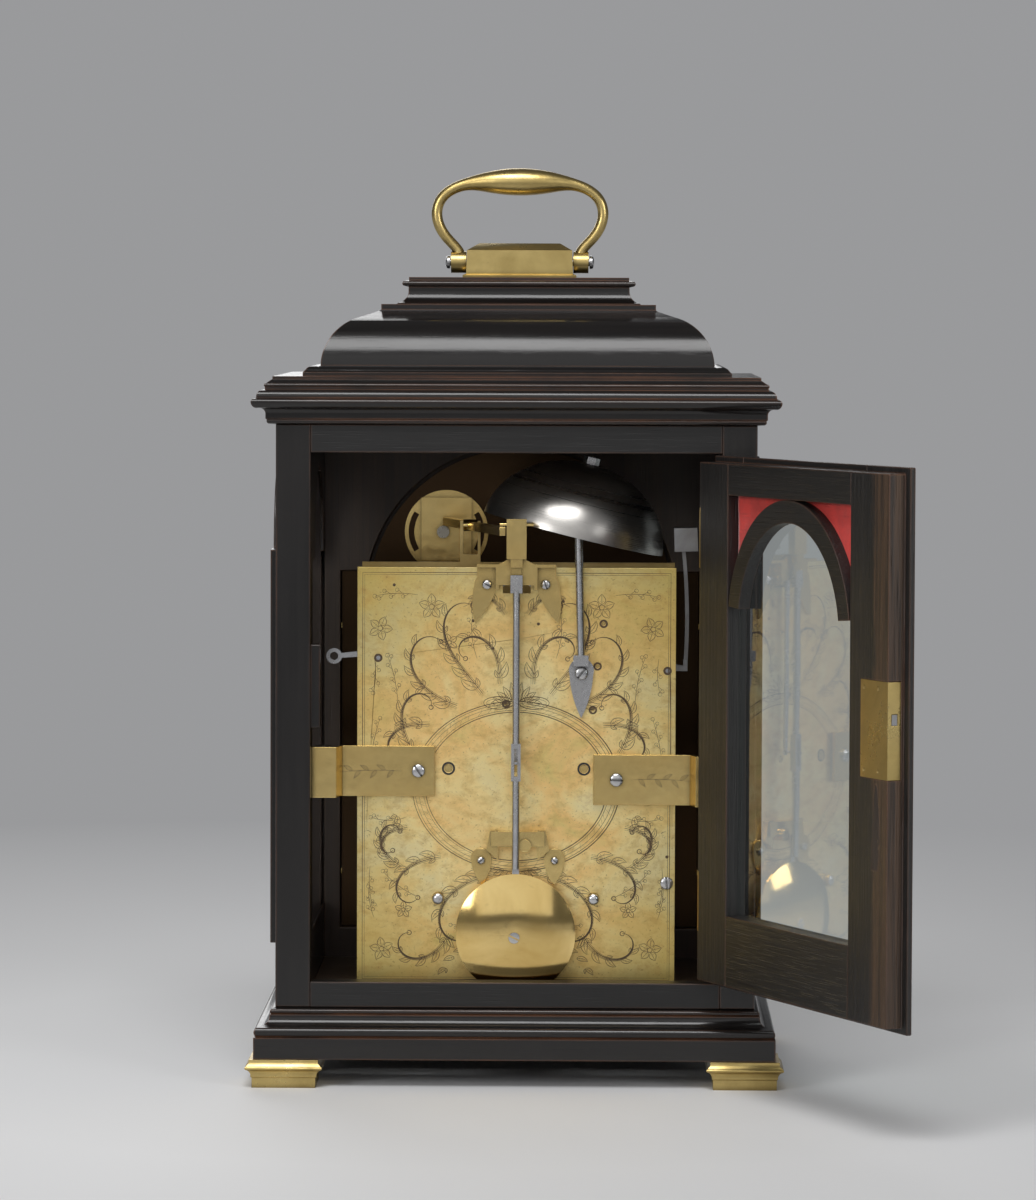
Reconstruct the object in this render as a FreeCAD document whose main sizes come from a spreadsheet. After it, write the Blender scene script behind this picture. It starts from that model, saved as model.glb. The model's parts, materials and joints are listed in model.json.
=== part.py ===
import FreeCAD, Part
import math
import os
import re
from types import SimpleNamespace

from FreeCAD import Placement, Rotation, Vector

# An ebonised bracket clock with a bell top, open at the back.
# +Z is up, the dial faces -Y and the rear door +Y. The origin lies on the surface that the
# four feet stand on, under the middle of the case. Sizes are in millimetres.
# The rear door stands open by rear_door_angle and the carrying handle stands up.

SIZES = {
    # case
    "case_width": 241.0,
    "case_depth": 176.0,
    "side_thickness": 17.5,
    "base_top": 39.4,
    "side_top": 332.6,
    "foot_height": 14.2,
    "rail_thickness": 12.0,
    "opening_bottom": 52.2,
    "opening_top": 318.5,
    "floor_top": 48.0,
    "ceiling_bottom": 324.0,
    # front door and dial
    "front_door_thickness": 16.0,
    "front_door_gap": 0.5,
    "mask_thickness": 16.0,
    "dial_half": 94.0,
    "dial_centre_height": 158.0,
    "dial_thickness": 2.0,
    "dial_arch_height": 237.0,
    "dial_arch_radius": 80.0,
    "subdial_offset": 39.0,
    "subdial_height": 273.0,
    "glass_thickness": 2.0,
    # rear door
    "rear_door_angle": 115.0,
    "rear_door_width": 205.0,
    "rear_door_block": 11.1,
    "rear_door_lip": 2.6,
    "hinge_proud": 2.3,
    "hinge_length": 30.0,
    # movement
    "plate_half": 80.6,
    "plate_top": 260.0,
    "plate_thickness": 3.0,
    "plate_gap": 52.0,
    "back_plate_depth": 25.0,
    "fusee_offset": 34.3,
    "barrel_offset": 39.4,
    "barrel_height": 92.0,
    "barrel_radius": 28.0,
    "pallet_height": 257.0,
    "escape_radius": 23.5,
    "bob_radius": 30.3,
    "bob_height": 75.0,
    "bob_thickness": 10.4,
    "bell_radius": 47.0,
    "bell_tilt": 14.0,
    # handle
    "handle_pivot_height": 414.5,
    "handle_grip_radius": 7.0,
}

doc = FreeCAD.newDocument("bracket_clock")
sheet = doc.addObject("Spreadsheet::Sheet", "sizes")
for row, (alias, number) in enumerate(SIZES.items(), start=1):
    sheet.set(f"A{row}", alias)
    sheet.set(f"B{row}", str(number))
    sheet.setAlias(f"B{row}", alias)
doc.recompute()
size = SimpleNamespace(**{alias: float(sheet.get(alias)) for alias in SIZES})

NODES = []
FULL_TURN = 360.0

# ---------------------------------------------------------------- building blocks


def formula(text):
    """The text with each sheet alias written as a reference to the sheet."""
    return re.sub(r"[a-z_]+", lambda word: f"sizes.{word[0]}" if word[0] in SIZES else word[0], text)


def bind(thing, **properties):
    for name, text in properties.items():
        thing.setExpression(name.replace("__", "."), formula(str(text)))


def node(thing, label):
    """Marks a finished sub-part, which is written to its own file."""
    thing.Label = label
    NODES.append(thing)
    return thing


def board(name, corner, extent):
    """A square-edged block from formulas for its lowest corner and its three extents."""
    thing = doc.addObject("Part::Box", name)
    bind(thing, Length=extent[0], Width=extent[1], Height=extent[2])
    bind(thing, Placement__Base__x=corner[0], Placement__Base__y=corner[1], Placement__Base__z=corner[2])
    return thing


def cuboid(name, low, high):
    """A square-edged block between two corners."""
    return board(name, low, [f"{b} - ({a})" for a, b in zip(low, high)])


def rod(name, radius, length, base, direction):
    thing = doc.addObject("Part::Cylinder", name)
    bind(thing, Radius=radius, Height=length)
    thing.Placement = Placement(Vector(*base), Rotation(Vector(0, 0, 1), Vector(*direction)))
    return thing


def cut(name, base, *tools):
    thing = doc.addObject("Part::Cut", name)
    thing.Base = base
    thing.Tool = tools[0] if len(tools) == 1 else fuse(name + "_tools", *tools)
    return thing


def fuse(name, *things):
    thing = doc.addObject("Part::MultiFuse", name)
    thing.Shapes = list(things)
    thing.Refine = True
    return thing


def group(name, *things):
    """Separate solids kept together in one sub-part."""
    thing = doc.addObject("Part::Compound", name)
    thing.Links = list(things)
    return thing


def outline(start, *steps):
    """A closed chain of edges: a step is a point, or a pair (point on the arc, end of the arc)."""
    here = Vector(*start)
    edges = []
    for step in steps + (start,):
        if isinstance(step[0], tuple):
            there = Vector(*step[1])
            edges.append(Part.Arc(here, Vector(*step[0]), there))
        else:
            there = Vector(*step)
            if (there - here).Length > 1e-6:
                edges.append(Part.LineSegment(here, there))
        here = there
    return edges


def circle(x, y, radius):
    return [Part.Circle(Vector(x, y), Vector(0, 0, 1), radius)]


def arched(half, bottom, shoulder, radius, centre, middle=0.0):
    """A rectangle with a break arch on top."""
    reach = math.sqrt(radius**2 - (shoulder - centre) ** 2)
    return outline(
        (middle - half, bottom),
        (middle + half, bottom),
        (middle + half, shoulder),
        (middle + reach, shoulder),
        ((middle, centre + radius), (middle - reach, shoulder)),
        (middle - half, shoulder),
    )


def new_body(name, placement=None):
    body = doc.addObject("PartDesign::Body", name)
    if placement:
        body.Placement = placement
    return body


def sketch(body, role, edges, offset=0.0):
    drawing = body.newObject("Sketcher::SketchObject", f"{body.Name}_sketch")
    plane = next(feature for feature in body.Origin.OriginFeatures if feature.Role == role)
    drawing.AttachmentSupport = (plane, [""])
    drawing.MapMode = "FlatFace"
    drawing.AttachmentOffset = Placement(Vector(0, 0, offset), Rotation())
    for edge in edges:
        drawing.addGeometry(edge, False)
    return drawing


def pad(body, role, edges, length, offset=0.0, both=False):
    feature = body.newObject("PartDesign::Pad", f"{body.Name}_pad")
    feature.Profile = sketch(body, role, edges, offset)
    feature.Midplane = both
    bind(feature, Length=length)
    body.Tip = feature
    return feature


def pocket(body, role, edges, length, offset=0.0, both=False, reverse=False):
    """A pocket, whose cut is checked by the volume that it takes away."""
    doc.recompute()
    before = body.Shape.Volume
    feature = body.newObject("PartDesign::Pocket", f"{body.Name}_pocket")
    feature.Profile = sketch(body, role, edges, offset)
    feature.Midplane = both
    feature.Reversed = reverse
    bind(feature, Length=length)
    body.Tip = feature
    doc.recompute()
    if body.Shape.Volume > before - 1e-3:
        raise RuntimeError(f"a pocket in {body.Name} cuts nothing")
    return feature


def turn(body, edges):
    """A solid of revolution about the body's own Z axis, from a half profile (radius, height)."""
    feature = body.newObject("PartDesign::Revolution", f"{body.Name}_turned")
    profile = sketch(body, "XZ_Plane", edges)
    feature.Profile = profile
    feature.ReferenceAxis = (profile, ["V_Axis"])
    feature.Angle = FULL_TURN
    body.Tip = feature
    return feature


def turned(name, edges, placement=None):
    body = new_body(name, placement)
    turn(body, edges)
    return body


def slab(name, role, edges, length, offset=0.0, placement=None, both=False):
    body = new_body(name, placement)
    pad(body, role, edges, length, offset, both)
    return body


def moulded_block(name, half_x, half_y, profile):
    """A block with the same moulding run round all four sides, mitred at its corners.

    The profile is the right-hand edge as (offset from the block's face, height), from below
    upwards, and its steps may be arcs. Two silhouettes that cross each other make the mitres.
    """

    def silhouette(half):
        def place(step, sign):
            if isinstance(step[0], tuple):
                return tuple(place(point, sign) for point in step)
            return (sign * (half + step[0]), step[1])

        right = [place(step, 1) for step in profile]
        left = [place(step, -1) for step in profile]
        # the left edge runs downwards, so each arc is met from its other end
        down = []
        ends = [step[1] if isinstance(step[0], tuple) else step for step in left]
        for index in range(len(left) - 1, 0, -1):
            if isinstance(left[index][0], tuple):
                down.append((left[index][0], ends[index - 1]))
            else:
                down.append(ends[index - 1])
        return outline(right[0], *right[1:], ends[-1], *down)

    across = slab(f"{name}_across", "XZ_Plane", silhouette(half_x), 2 * (half_y + 20), both=True)
    along = slab(f"{name}_along", "YZ_Plane", silhouette(half_y), 2 * (half_x + 20), both=True)
    crossing = doc.addObject("Part::Common", name)
    crossing.Base = across
    crossing.Tool = along
    return crossing


# ---------------------------------------------------------------- places shared by several pieces

HALF_WIDTH = size.case_width / 2
REAR = size.case_depth / 2
INNER = HALF_WIDTH - size.side_thickness
SIDE_FRONT = -REAR + size.front_door_thickness + size.front_door_gap
MASK_REAR = -50.0
MASK_FRONT = MASK_REAR - size.mask_thickness
DIAL_FACE = MASK_FRONT + 8.0
BACK_PLATE_IN = REAR - size.back_plate_depth - size.plate_thickness
BACK_PLATE_OUT = REAR - size.back_plate_depth
FRONT_PLATE_IN = BACK_PLATE_IN - size.plate_gap
FRONT_PLATE_OUT = FRONT_PLATE_IN - size.plate_thickness
CENTRE = size.dial_centre_height

# the rocking arm of the pendulum's regulation, and the eccentric that lifts its front end
ARM_X, ARM_Y, ARM_Z = 24.9, 6.5, 279.0
ARM_LOW = 276.6
CAM_THROW = 1.7
CAM_RADIUS = 3.25

FACING_FRONT = Rotation(Vector(1, 0, 0), 90)


def on_arbor(x, height, depth=BACK_PLATE_IN):
    """Own X stays X, own Y points up and own Z points to the dial, from the back plate's inner face."""
    return Placement(Vector(x, depth, height), FACING_FRONT)


# ---------------------------------------------------------------- the case


def make_feet():
    profile = [
        (-2.2, 0.0),
        (-2.2, 5.0),
        (-1.6, 5.6),
        ((-1.1, 7.9), (0.6, 9.3)),
        ((1.2, 10.0), (0.6, 10.9)),
        (-0.8, 12.6),
        (-0.8, size.foot_height),
    ]
    half = 18.2
    out = Vector(HALF_WIDTH + 13.4 - half, REAR + 13.4 - half, 0)
    feet = []
    for index, (side, end) in enumerate(((1, 1), (-1, 1), (-1, -1), (1, -1)), start=1):
        foot = moulded_block(f"foot_{index}", half, half, profile)
        foot.Placement = Placement(Vector(side * out.x, end * out.y, 0), Rotation())
        feet.append(foot)
    node(group("feet_group", *feet), "feet")


PIVOT_X = 112.5
PIVOT_Y = -REAR + size.front_door_thickness / 2


def make_base_moulding():
    profile = [
        (10.5, size.foot_height),
        (10.5, 25.0),
        (9.4, 25.6),
        ((10.3, 28.0), (9.0, 30.0)),
        (7.0, 30.4),
        ((4.0, 32.0), (2.8, 35.9)),
        (1.9, 36.2),
        ((2.6, 37.6), (1.4, 38.7)),
        (0.0, size.base_top),
    ]
    block = moulded_block("base_block", HALF_WIDTH, REAR, profile)
    well = cuboid("base_well", ("-98", "-65.5", "0"), ("98", "65.5", "60"))
    socket = rod("base_socket", "2", "9", (PIVOT_X, PIVOT_Y, size.base_top - 8), (0, 0, 1))
    node(cut("base", block, well, socket), "base_moulding")


def make_cornice():
    profile = [
        (0.3, size.side_top),
        (2.8, 332.9),
        ((4.2, 333.6), (4.2, 335.0)),
        (4.9, 335.4),
        (4.9, 338.2),
        ((5.9, 340.1), (8.0, 340.9)),
        ((10.4, 341.2), (11.75, 343.2)),
        ((11.6, 344.8), (9.9, 345.5)),
        (9.2, 346.1),
        ((8.6, 348.6), (5.2, 349.9)),
        (5.2, 351.4),
        ((5.6, 352.4), (4.6, 353.2)),
        (1.6, 355.2),
        (1.6, 356.6),
    ]
    block = moulded_block("cornice_block", HALF_WIDTH, REAR, profile)
    well = cuboid("cornice_well", ("-98", "-65.5", "320"), ("98", "65.5", "370"))
    socket = rod("cornice_socket", "2", "9", (PIVOT_X, PIVOT_Y, size.side_top - 1), (0, 0, 1))
    node(cut("cornice_ring", block, well, socket), "cornice")


def make_bell_top():
    """The bell top proper, and the cap that carries the handle."""
    dome_profile = [
        (-12.7, 356.6),
        (-12.7, 358.4),
        (-13.6, 359.2),
        ((-15.4, 361.0), (-20.4, 361.2)),
        (-21.2, 361.6),
        ((-26.6, 377.0), (-41.5, 386.6)),
        (-49.5, 389.3),
        (-50.6, 390.0),
        (-50.6, 392.8),
    ]
    dome = moulded_block("dome", HALF_WIDTH, REAR, dome_profile)
    cap_profile = [
        (-58.2, 392.8),
        (-58.9, 393.5),
        ((-62.4, 395.4), (-64.0, 399.4)),
        (-64.0, 401.6),
        (-61.6, 402.2),
        ((-60.9, 403.5), (-61.8, 404.6)),
        (-64.2, 405.0),
        (-64.2, 406.6),
    ]
    cap = moulded_block("cap", HALF_WIDTH, REAR, cap_profile)
    node(group("bell_top_group", dome, cap), "bell_top")


WINDOW_HALF = 63.0
WINDOW_BOTTOM = 79.0
WINDOW_SHOULDER = 260.0
WINDOW_ARCH = 38.0
WINDOW_CENTRE = 268.0
BEZEL = 9.0
BEZEL_PROUD = 3.5
GLASS_LAP = 3.0


def window(extra=0.0):
    return arched(
        WINDOW_HALF + extra,
        WINDOW_BOTTOM - extra,
        WINDOW_SHOULDER + extra,
        WINDOW_ARCH + extra,
        WINDOW_CENTRE,
        1.0,
    )


STRAP_LOW = {1: 144.0, -1: 140.0}
STRAP_HEIGHT = 25.6
STRAP_FOOT_Y = 73.5
STRAP_BLOCK = 94.0


def make_sides():
    """Side panels with an arched window, and the small blocks glued to them inside."""
    for side, name in ((-1, "left"), (1, "right")):
        panel = new_body(f"panel_{name}")
        low = min(side * INNER, side * HALF_WIDTH)
        length = REAR - SIDE_FRONT
        plan = outline(
            (low, SIDE_FRONT),
            (low + size.side_thickness, SIDE_FRONT),
            (low + size.side_thickness, SIDE_FRONT + length),
            (low, SIDE_FRONT + length),
        )
        pad(panel, "XY_Plane", plan, "side_top - base_top", size.base_top)
        pocket(panel, "YZ_Plane", window(), "case_width + 40", both=True)
        if side > 0:
            pocket(panel, "YZ_Plane", window(GLASS_LAP), "3", INNER, reverse=True)
        else:
            pocket(panel, "YZ_Plane", window(GLASS_LAP), "3", -INNER)
        z = STRAP_LOW[side]
        near, far = sorted((side * STRAP_BLOCK, side * INNER))
        block = cuboid(
            f"strap_block_{name}",
            (f"{near}", f"{BACK_PLATE_IN}", f"{z}"),
            (f"{far}", f"{STRAP_FOOT_Y}", f"{z + STRAP_HEIGHT}"),
        )
        if side > 0:
            keep = cuboid("lock_keep", ("98.4", "76.5", "180"), (f"{INNER}", "84.6", "222"))
            mortise = cuboid("keep_mortise", ("90", "78.8", "196.3"), (f"{INNER + 3}", "83.0", "204.1"))
            whole = cut("panel_with_keep", fuse("panel_and_blocks", panel, block, keep), mortise)
        else:
            tools = [
                cuboid(f"leaf_bed_{k}", ("-104", "76", f"{z0}"), ("-102", "89", f"{z0 + size.hinge_length}"))
                for k, z0 in enumerate(HINGE_LOW)
            ]
            whole = cut("panel_with_beds", fuse("panel_and_block", panel, block), *tools)
        node(whole, f"case_side_{name}")


def make_windows():
    bezels = []
    glasses = []
    for side, name in ((-1, "left"), (1, "right")):
        bezel = new_body(f"bezel_{name}")
        start = side * HALF_WIDTH
        if side > 0:
            pad(bezel, "YZ_Plane", window(BEZEL), f"{BEZEL_PROUD}", start)
        else:
            pad(bezel, "YZ_Plane", window(BEZEL), f"{BEZEL_PROUD}", start - BEZEL_PROUD)
        pocket(bezel, "YZ_Plane", window(), "case_width + 40", both=True)
        bezels.append(bezel)
        glass = new_body(f"side_glass_{name}")
        inner = side * INNER if side > 0 else side * INNER - 3.0
        pad(glass, "YZ_Plane", window(GLASS_LAP - 0.2), "glass_thickness", inner + (1.0 if side > 0 else 0.0))
        glasses.append(glass)
    node(group("bezels", *bezels), "side_bezels")
    node(group("glasses", *glasses), "side_glasses")


def make_rails_and_boards():
    inner = "(case_width/2 - side_thickness)"
    rear = "case_depth/2"
    top_rail = cuboid(
        "rear_top_rail",
        (f"-{inner}", f"{rear} - rail_thickness", "opening_top"),
        (inner, rear, "side_top"),
    )
    bottom_rail = cuboid(
        "rear_bottom_rail",
        (f"-{inner}", f"{rear} - rail_thickness", "base_top"),
        (inner, rear, "opening_bottom"),
    )
    floor = cuboid("floor", (f"-{inner}", f"{MASK_REAR}", "base_top"), (inner, "64", "floor_top"))
    ceiling = cuboid(
        "ceiling",
        (f"-{inner}", f"{MASK_REAR}", "ceiling_bottom"),
        (inner, f"{rear} - rail_thickness", "side_top"),
    )
    node(group("cross_members", top_rail, bottom_rail, floor, ceiling), "rails_and_boards")


def dial_shape(extra=0.0):
    return arched(
        size.dial_half + extra,
        CENTRE - size.dial_half,
        CENTRE + size.dial_half + extra,
        size.dial_arch_radius + extra,
        size.dial_arch_height,
    )


def sight_shape(margin):
    """The opening through which the dial is seen, inside the dial's own edge by margin."""
    return arched(
        size.dial_half - margin,
        CENTRE - size.dial_half + margin,
        CENTRE + size.dial_half - margin,
        size.dial_arch_radius - margin,
        size.dial_arch_height,
    )


def make_dial_mask():
    mask = new_body("mask")
    low, high = size.base_top, size.side_top
    front = outline((-INNER, low), (INNER, low), (INNER, high), (-INNER, high))
    pad(mask, "XZ_Plane", front, "mask_thickness", -MASK_REAR)
    recess = arched(
        size.dial_half + 0.6,
        CENTRE - size.dial_half - 0.6,
        CENTRE + size.dial_half + 0.6,
        size.dial_arch_radius + 2.0,
        size.dial_arch_height,
    )
    pocket(mask, "XZ_Plane", recess, f"{DIAL_FACE - MASK_REAR}".replace("-", ""), -MASK_REAR, reverse=True)
    pocket(mask, "XZ_Plane", sight_shape(3.0), "mask_thickness", -MASK_REAR, reverse=True)
    node(mask, "dial_mask")


def make_front_door():
    half = HALF_WIDTH - 0.5
    low = size.base_top + 0.6
    high = size.side_top - 0.6
    hinge_edge = 8.0
    front = -REAR
    back = front + size.front_door_thickness
    middle = front + size.front_door_thickness / 2
    turn_arc = hinge_edge * math.sqrt(0.5)
    door = new_body("door_frame")
    plan = outline(
        (-half, front),
        (half, front),
        (half, middle),
        ((PIVOT_X + turn_arc - 0.5, middle + turn_arc), (PIVOT_X - 0.5, back)),
        (-half, back),
    )
    pad(door, "XY_Plane", plan, high - low, low)
    pocket(door, "XZ_Plane", sight_shape(3.0), "front_door_thickness", -front, reverse=False)
    pocket(door, "XZ_Plane", sight_shape(-1.0), "5", -back, reverse=True)
    lower = rod("lower_bore", "2.05", "9", (PIVOT_X, PIVOT_Y, low - 0.5), (0, 0, 1))
    upper = rod("upper_bore", "2.05", "9", (PIVOT_X, PIVOT_Y, high - 8.5), (0, 0, 1))
    node(cut("front_door", door, lower, upper), "front_door_frame")
    glass = slab("front_glass", "XZ_Plane", sight_shape(-0.8), "glass_thickness", -(back - 5.0 + 2.0))
    node(glass, "front_door_glass")


# ---------------------------------------------------------------- handle


def make_handle():
    """The brass block on the cap, and the carrying handle that turns on screws in its ends."""
    block_profile = [
        (2.2, 406.6),
        (2.2, 407.8),
        (0.4, 408.6),
        (0.0, 420.6),
        (-6.2, 424.2),
    ]
    block = moulded_block("block", 27.0, 10.5, block_profile)
    pivot = size.handle_pivot_height
    bores = [rod(f"block_bore_{s}", "2.0", "8", (s * 21.2, 0, pivot), (s, 0, 0)) for s in (1, -1)]
    node(cut("handle_base", block, *bores), "handle_block")

    half_path = [
        (31.4, 417.0, 3.2),
        (33.0, 422.0, 2.7),
        (37.6, 427.0, 2.7),
        (41.4, 433.0, 2.75),
        (42.8, 440.0, 2.75),
        (40.4, 447.2, 2.75),
        (34.6, 452.0, 2.8),
        (27.0, 454.6, 3.3),
        (16.0, 455.6, 5.4),
        (0.0, 455.8, size.handle_grip_radius),
    ]
    path = half_path + [(-x, z, r) for x, z, r in reversed(half_path[:-1])]
    circles = []
    for index, (x, z, radius) in enumerate(path):
        before = path[max(index - 1, 0)]
        after = path[min(index + 1, len(path) - 1)]
        along = Vector(after[0] - before[0], 0, after[1] - before[1])
        if index in (0, len(path) - 1):
            along = Vector(0, 0, 1 if index == 0 else -1)
        ring = doc.addObject("Part::Circle", f"handle_ring_{index}")
        ring.Radius = radius
        ring.Placement = Placement(Vector(x, 0, z), Rotation(Vector(0, 0, 1), along))
        circles.append(ring)
    bow = doc.addObject("Part::Loft", "bow")
    bow.Sections = circles
    bow.Solid = True
    bosses = [rod(f"boss_{s}", "5.6", "7.8", (s * 27.6, 0, pivot), (s, 0, 0)) for s in (1, -1)]
    holes = [rod(f"boss_hole_{s}", "2.05", "10", (s * 26.8, 0, pivot), (s, 0, 0)) for s in (1, -1)]
    node(cut("handle_whole", fuse("handle_solid", bow, *bosses), *holes), "handle")


# ---------------------------------------------------------------- rear door

HINGE_X = -INNER - 0.3
HINGE_Y = REAR + size.hinge_proud
HINGE_LOW = (80.0, 262.0)
DOOR_IN_PLACE = Placement(Vector(HINGE_X, HINGE_Y, 0), Rotation(Vector(0, 0, 1), size.rear_door_angle))

# In the door's own frame the hinge axis is Z, X runs along the shut door and Y points out of the case.
DOOR_NEAR = 0.8
DOOR_FAR = DOOR_NEAR + size.rear_door_width
BLOCK_FAR = DOOR_FAR - 5.0
OUTER_FACE = -size.hinge_proud
LIP_FACE = OUTER_FACE - size.rear_door_lip
INNER_FACE = OUTER_FACE - size.rear_door_block
LIP_LOW, LIP_HIGH = 52.7, 317.9
BLOCK_LOW, BLOCK_HIGH = 55.6, 314.8
STILE_IN = 32.3
LOCK_STILE_IN = 162.3
RAIL_LOW_TOP = 90.7
RAIL_HIGH_BOTTOM = 299.2
LOCK_LOW, LOCK_HIGH = 172.0, 218.0
LOCK_NEAR = 173.8
LOCK_FLOOR = INNER_FACE + 7.0
BOLT_LOW, BOLT_HIGH = 197.6, 202.8
ARCH_X = (STILE_IN + LOCK_STILE_IN) / 2
ARCH_Z = 234.4
ARCH_OUT = 64.7
ARCH_IN = 53.6


def door_box(name, x0, x1, y0, y1, z0, z1):
    return cuboid(name, (f"{x0}", f"{y0}", f"{z0}"), (f"{x1}", f"{y1}", f"{z1}"))


def hang(thing):
    """Swings a finished piece of the rear door from shut to its open place."""
    thing.Placement = DOOR_IN_PLACE.multiply(thing.Placement)
    return thing


def rebated(name, block, lip):
    """A stile or rail: a thick inner block with a thin outer lip."""
    return fuse(
        name,
        door_box(f"{name}_block", block[0], block[1], INNER_FACE, LIP_FACE, block[2], block[3]),
        door_box(f"{name}_lip", lip[0], lip[1], LIP_FACE, OUTER_FACE, lip[2], lip[3]),
    )


def arc_point(radius, degrees, x=ARCH_X, z=ARCH_Z):
    """A point of an arch, by its angle from the top towards the lock side."""
    angle = math.radians(degrees)
    return (x + radius * math.sin(angle), z + radius * math.cos(angle))


def make_rear_door():
    hinge_stile = rebated(
        "hinge_stile", (DOOR_NEAR, STILE_IN, BLOCK_LOW, BLOCK_HIGH), (DOOR_NEAR, STILE_IN, LIP_LOW, LIP_HIGH)
    )
    beds = [
        door_box(
            f"door_leaf_bed_{k}", 0, DOOR_NEAR + 1.0, INNER_FACE - 1, OUTER_FACE + 1, z, z + size.hinge_length
        )
        for k, z in enumerate(HINGE_LOW)
    ]
    node(hang(cut("hinge_stile_cut", hinge_stile, *beds)), "rear_door_hinge_stile")

    lock_stile = rebated(
        "lock_stile",
        (LOCK_STILE_IN, BLOCK_FAR, BLOCK_LOW, BLOCK_HIGH),
        (LOCK_STILE_IN, DOOR_FAR, LIP_LOW, LIP_HIGH),
    )
    lock_bed = door_box("lock_bed", LOCK_NEAR, BLOCK_FAR + 1, INNER_FACE - 1, LOCK_FLOOR, LOCK_LOW, LOCK_HIGH)
    node(hang(cut("lock_stile_cut", lock_stile, lock_bed)), "rear_door_lock_stile")

    top_rail = rebated(
        "top_rail",
        (STILE_IN, LOCK_STILE_IN, RAIL_HIGH_BOTTOM, BLOCK_HIGH),
        (STILE_IN, LOCK_STILE_IN, RAIL_HIGH_BOTTOM, LIP_HIGH),
    )
    node(hang(top_rail), "rear_door_top_rail")
    bottom_rail = rebated(
        "bottom_rail",
        (STILE_IN, LOCK_STILE_IN, BLOCK_LOW, RAIL_LOW_TOP),
        (STILE_IN, LOCK_STILE_IN, LIP_LOW, RAIL_LOW_TOP),
    )
    node(hang(bottom_rail), "rear_door_bottom_rail")

    glass_face = LIP_FACE - size.glass_thickness
    low, high = RAIL_LOW_TOP, RAIL_HIGH_BOTTOM
    pane = door_box("door_pane", STILE_IN, LOCK_STILE_IN, glass_face, LIP_FACE, low, high)
    node(hang(group("door_glass", pane)), "rear_door_glass")

    foot_out, foot_in = 81.0, 80.0
    horseshoe = outline(
        arc_point(ARCH_OUT, -foot_out),
        (arc_point(ARCH_OUT, 0), arc_point(ARCH_OUT, foot_out)),
        arc_point(ARCH_IN, foot_in),
        (arc_point(ARCH_IN, 0), arc_point(ARCH_IN, -foot_in)),
    )
    arch = slab("arch_fillet", "XZ_Plane", horseshoe, f"{glass_face - INNER_FACE}", -glass_face)
    frets = []
    silks = []
    for side in (-1, 1):
        edge = STILE_IN if side < 0 else LOCK_STILE_IN
        corner = outline(
            (edge, RAIL_HIGH_BOTTOM),
            (edge, arc_point(ARCH_OUT + 0.4, side * 75)[1]),
            arc_point(ARCH_OUT + 0.4, side * 75),
            (arc_point(ARCH_OUT + 0.4, side * 42), arc_point(ARCH_OUT + 0.4, side * 12)),
            (arc_point(ARCH_OUT + 0.4, side * 12)[0], RAIL_HIGH_BOTTOM),
        )
        silks.append(slab(f"silk_{side}", "XZ_Plane", corner, "1.0", -glass_face))
        fret = slab(f"fret_{side}", "XZ_Plane", corner, "rear_door_lip", -OUTER_FACE)
        for reach, along, radius in ((74.5, 47.0, 4.6), (72.2, 61.0, 2.6), (71.8, 33.0, 2.6)):
            hole = arc_point(reach, side * along)
            pocket(fret, "XZ_Plane", circle(hole[0], hole[1], radius), "10", both=True)
        frets.append(fret)
    node(hang(group("arch_and_frets", arch, *frets)), "rear_door_arch")
    node(hang(group("silks", *silks)), "rear_door_silk")


def make_rear_lock():
    case = door_box("lock_case", LOCK_NEAR, BLOCK_FAR, INNER_FACE, LOCK_FLOOR, LOCK_LOW, LOCK_HIGH)
    bolt_back = LOCK_NEAR + 8.0
    bolt_in = INNER_FACE + 2.2
    channel = door_box("bolt_channel", bolt_back, BLOCK_FAR + 1, bolt_in, bolt_in + 3.0, BOLT_LOW, BOLT_HIGH)
    node(hang(cut("lock_body", case, channel)), "rear_door_lock")
    bolt = door_box(
        "bolt", bolt_back + 0.6, BLOCK_FAR - 0.2, bolt_in + 0.1, bolt_in + 2.9, BOLT_LOW + 0.1, BOLT_HIGH - 0.1
    )
    node(hang(group("bolt_group", bolt)), "rear_lock_bolt")


KNUCKLE = 2.0
HINGE_PIN = 1.0


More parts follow.
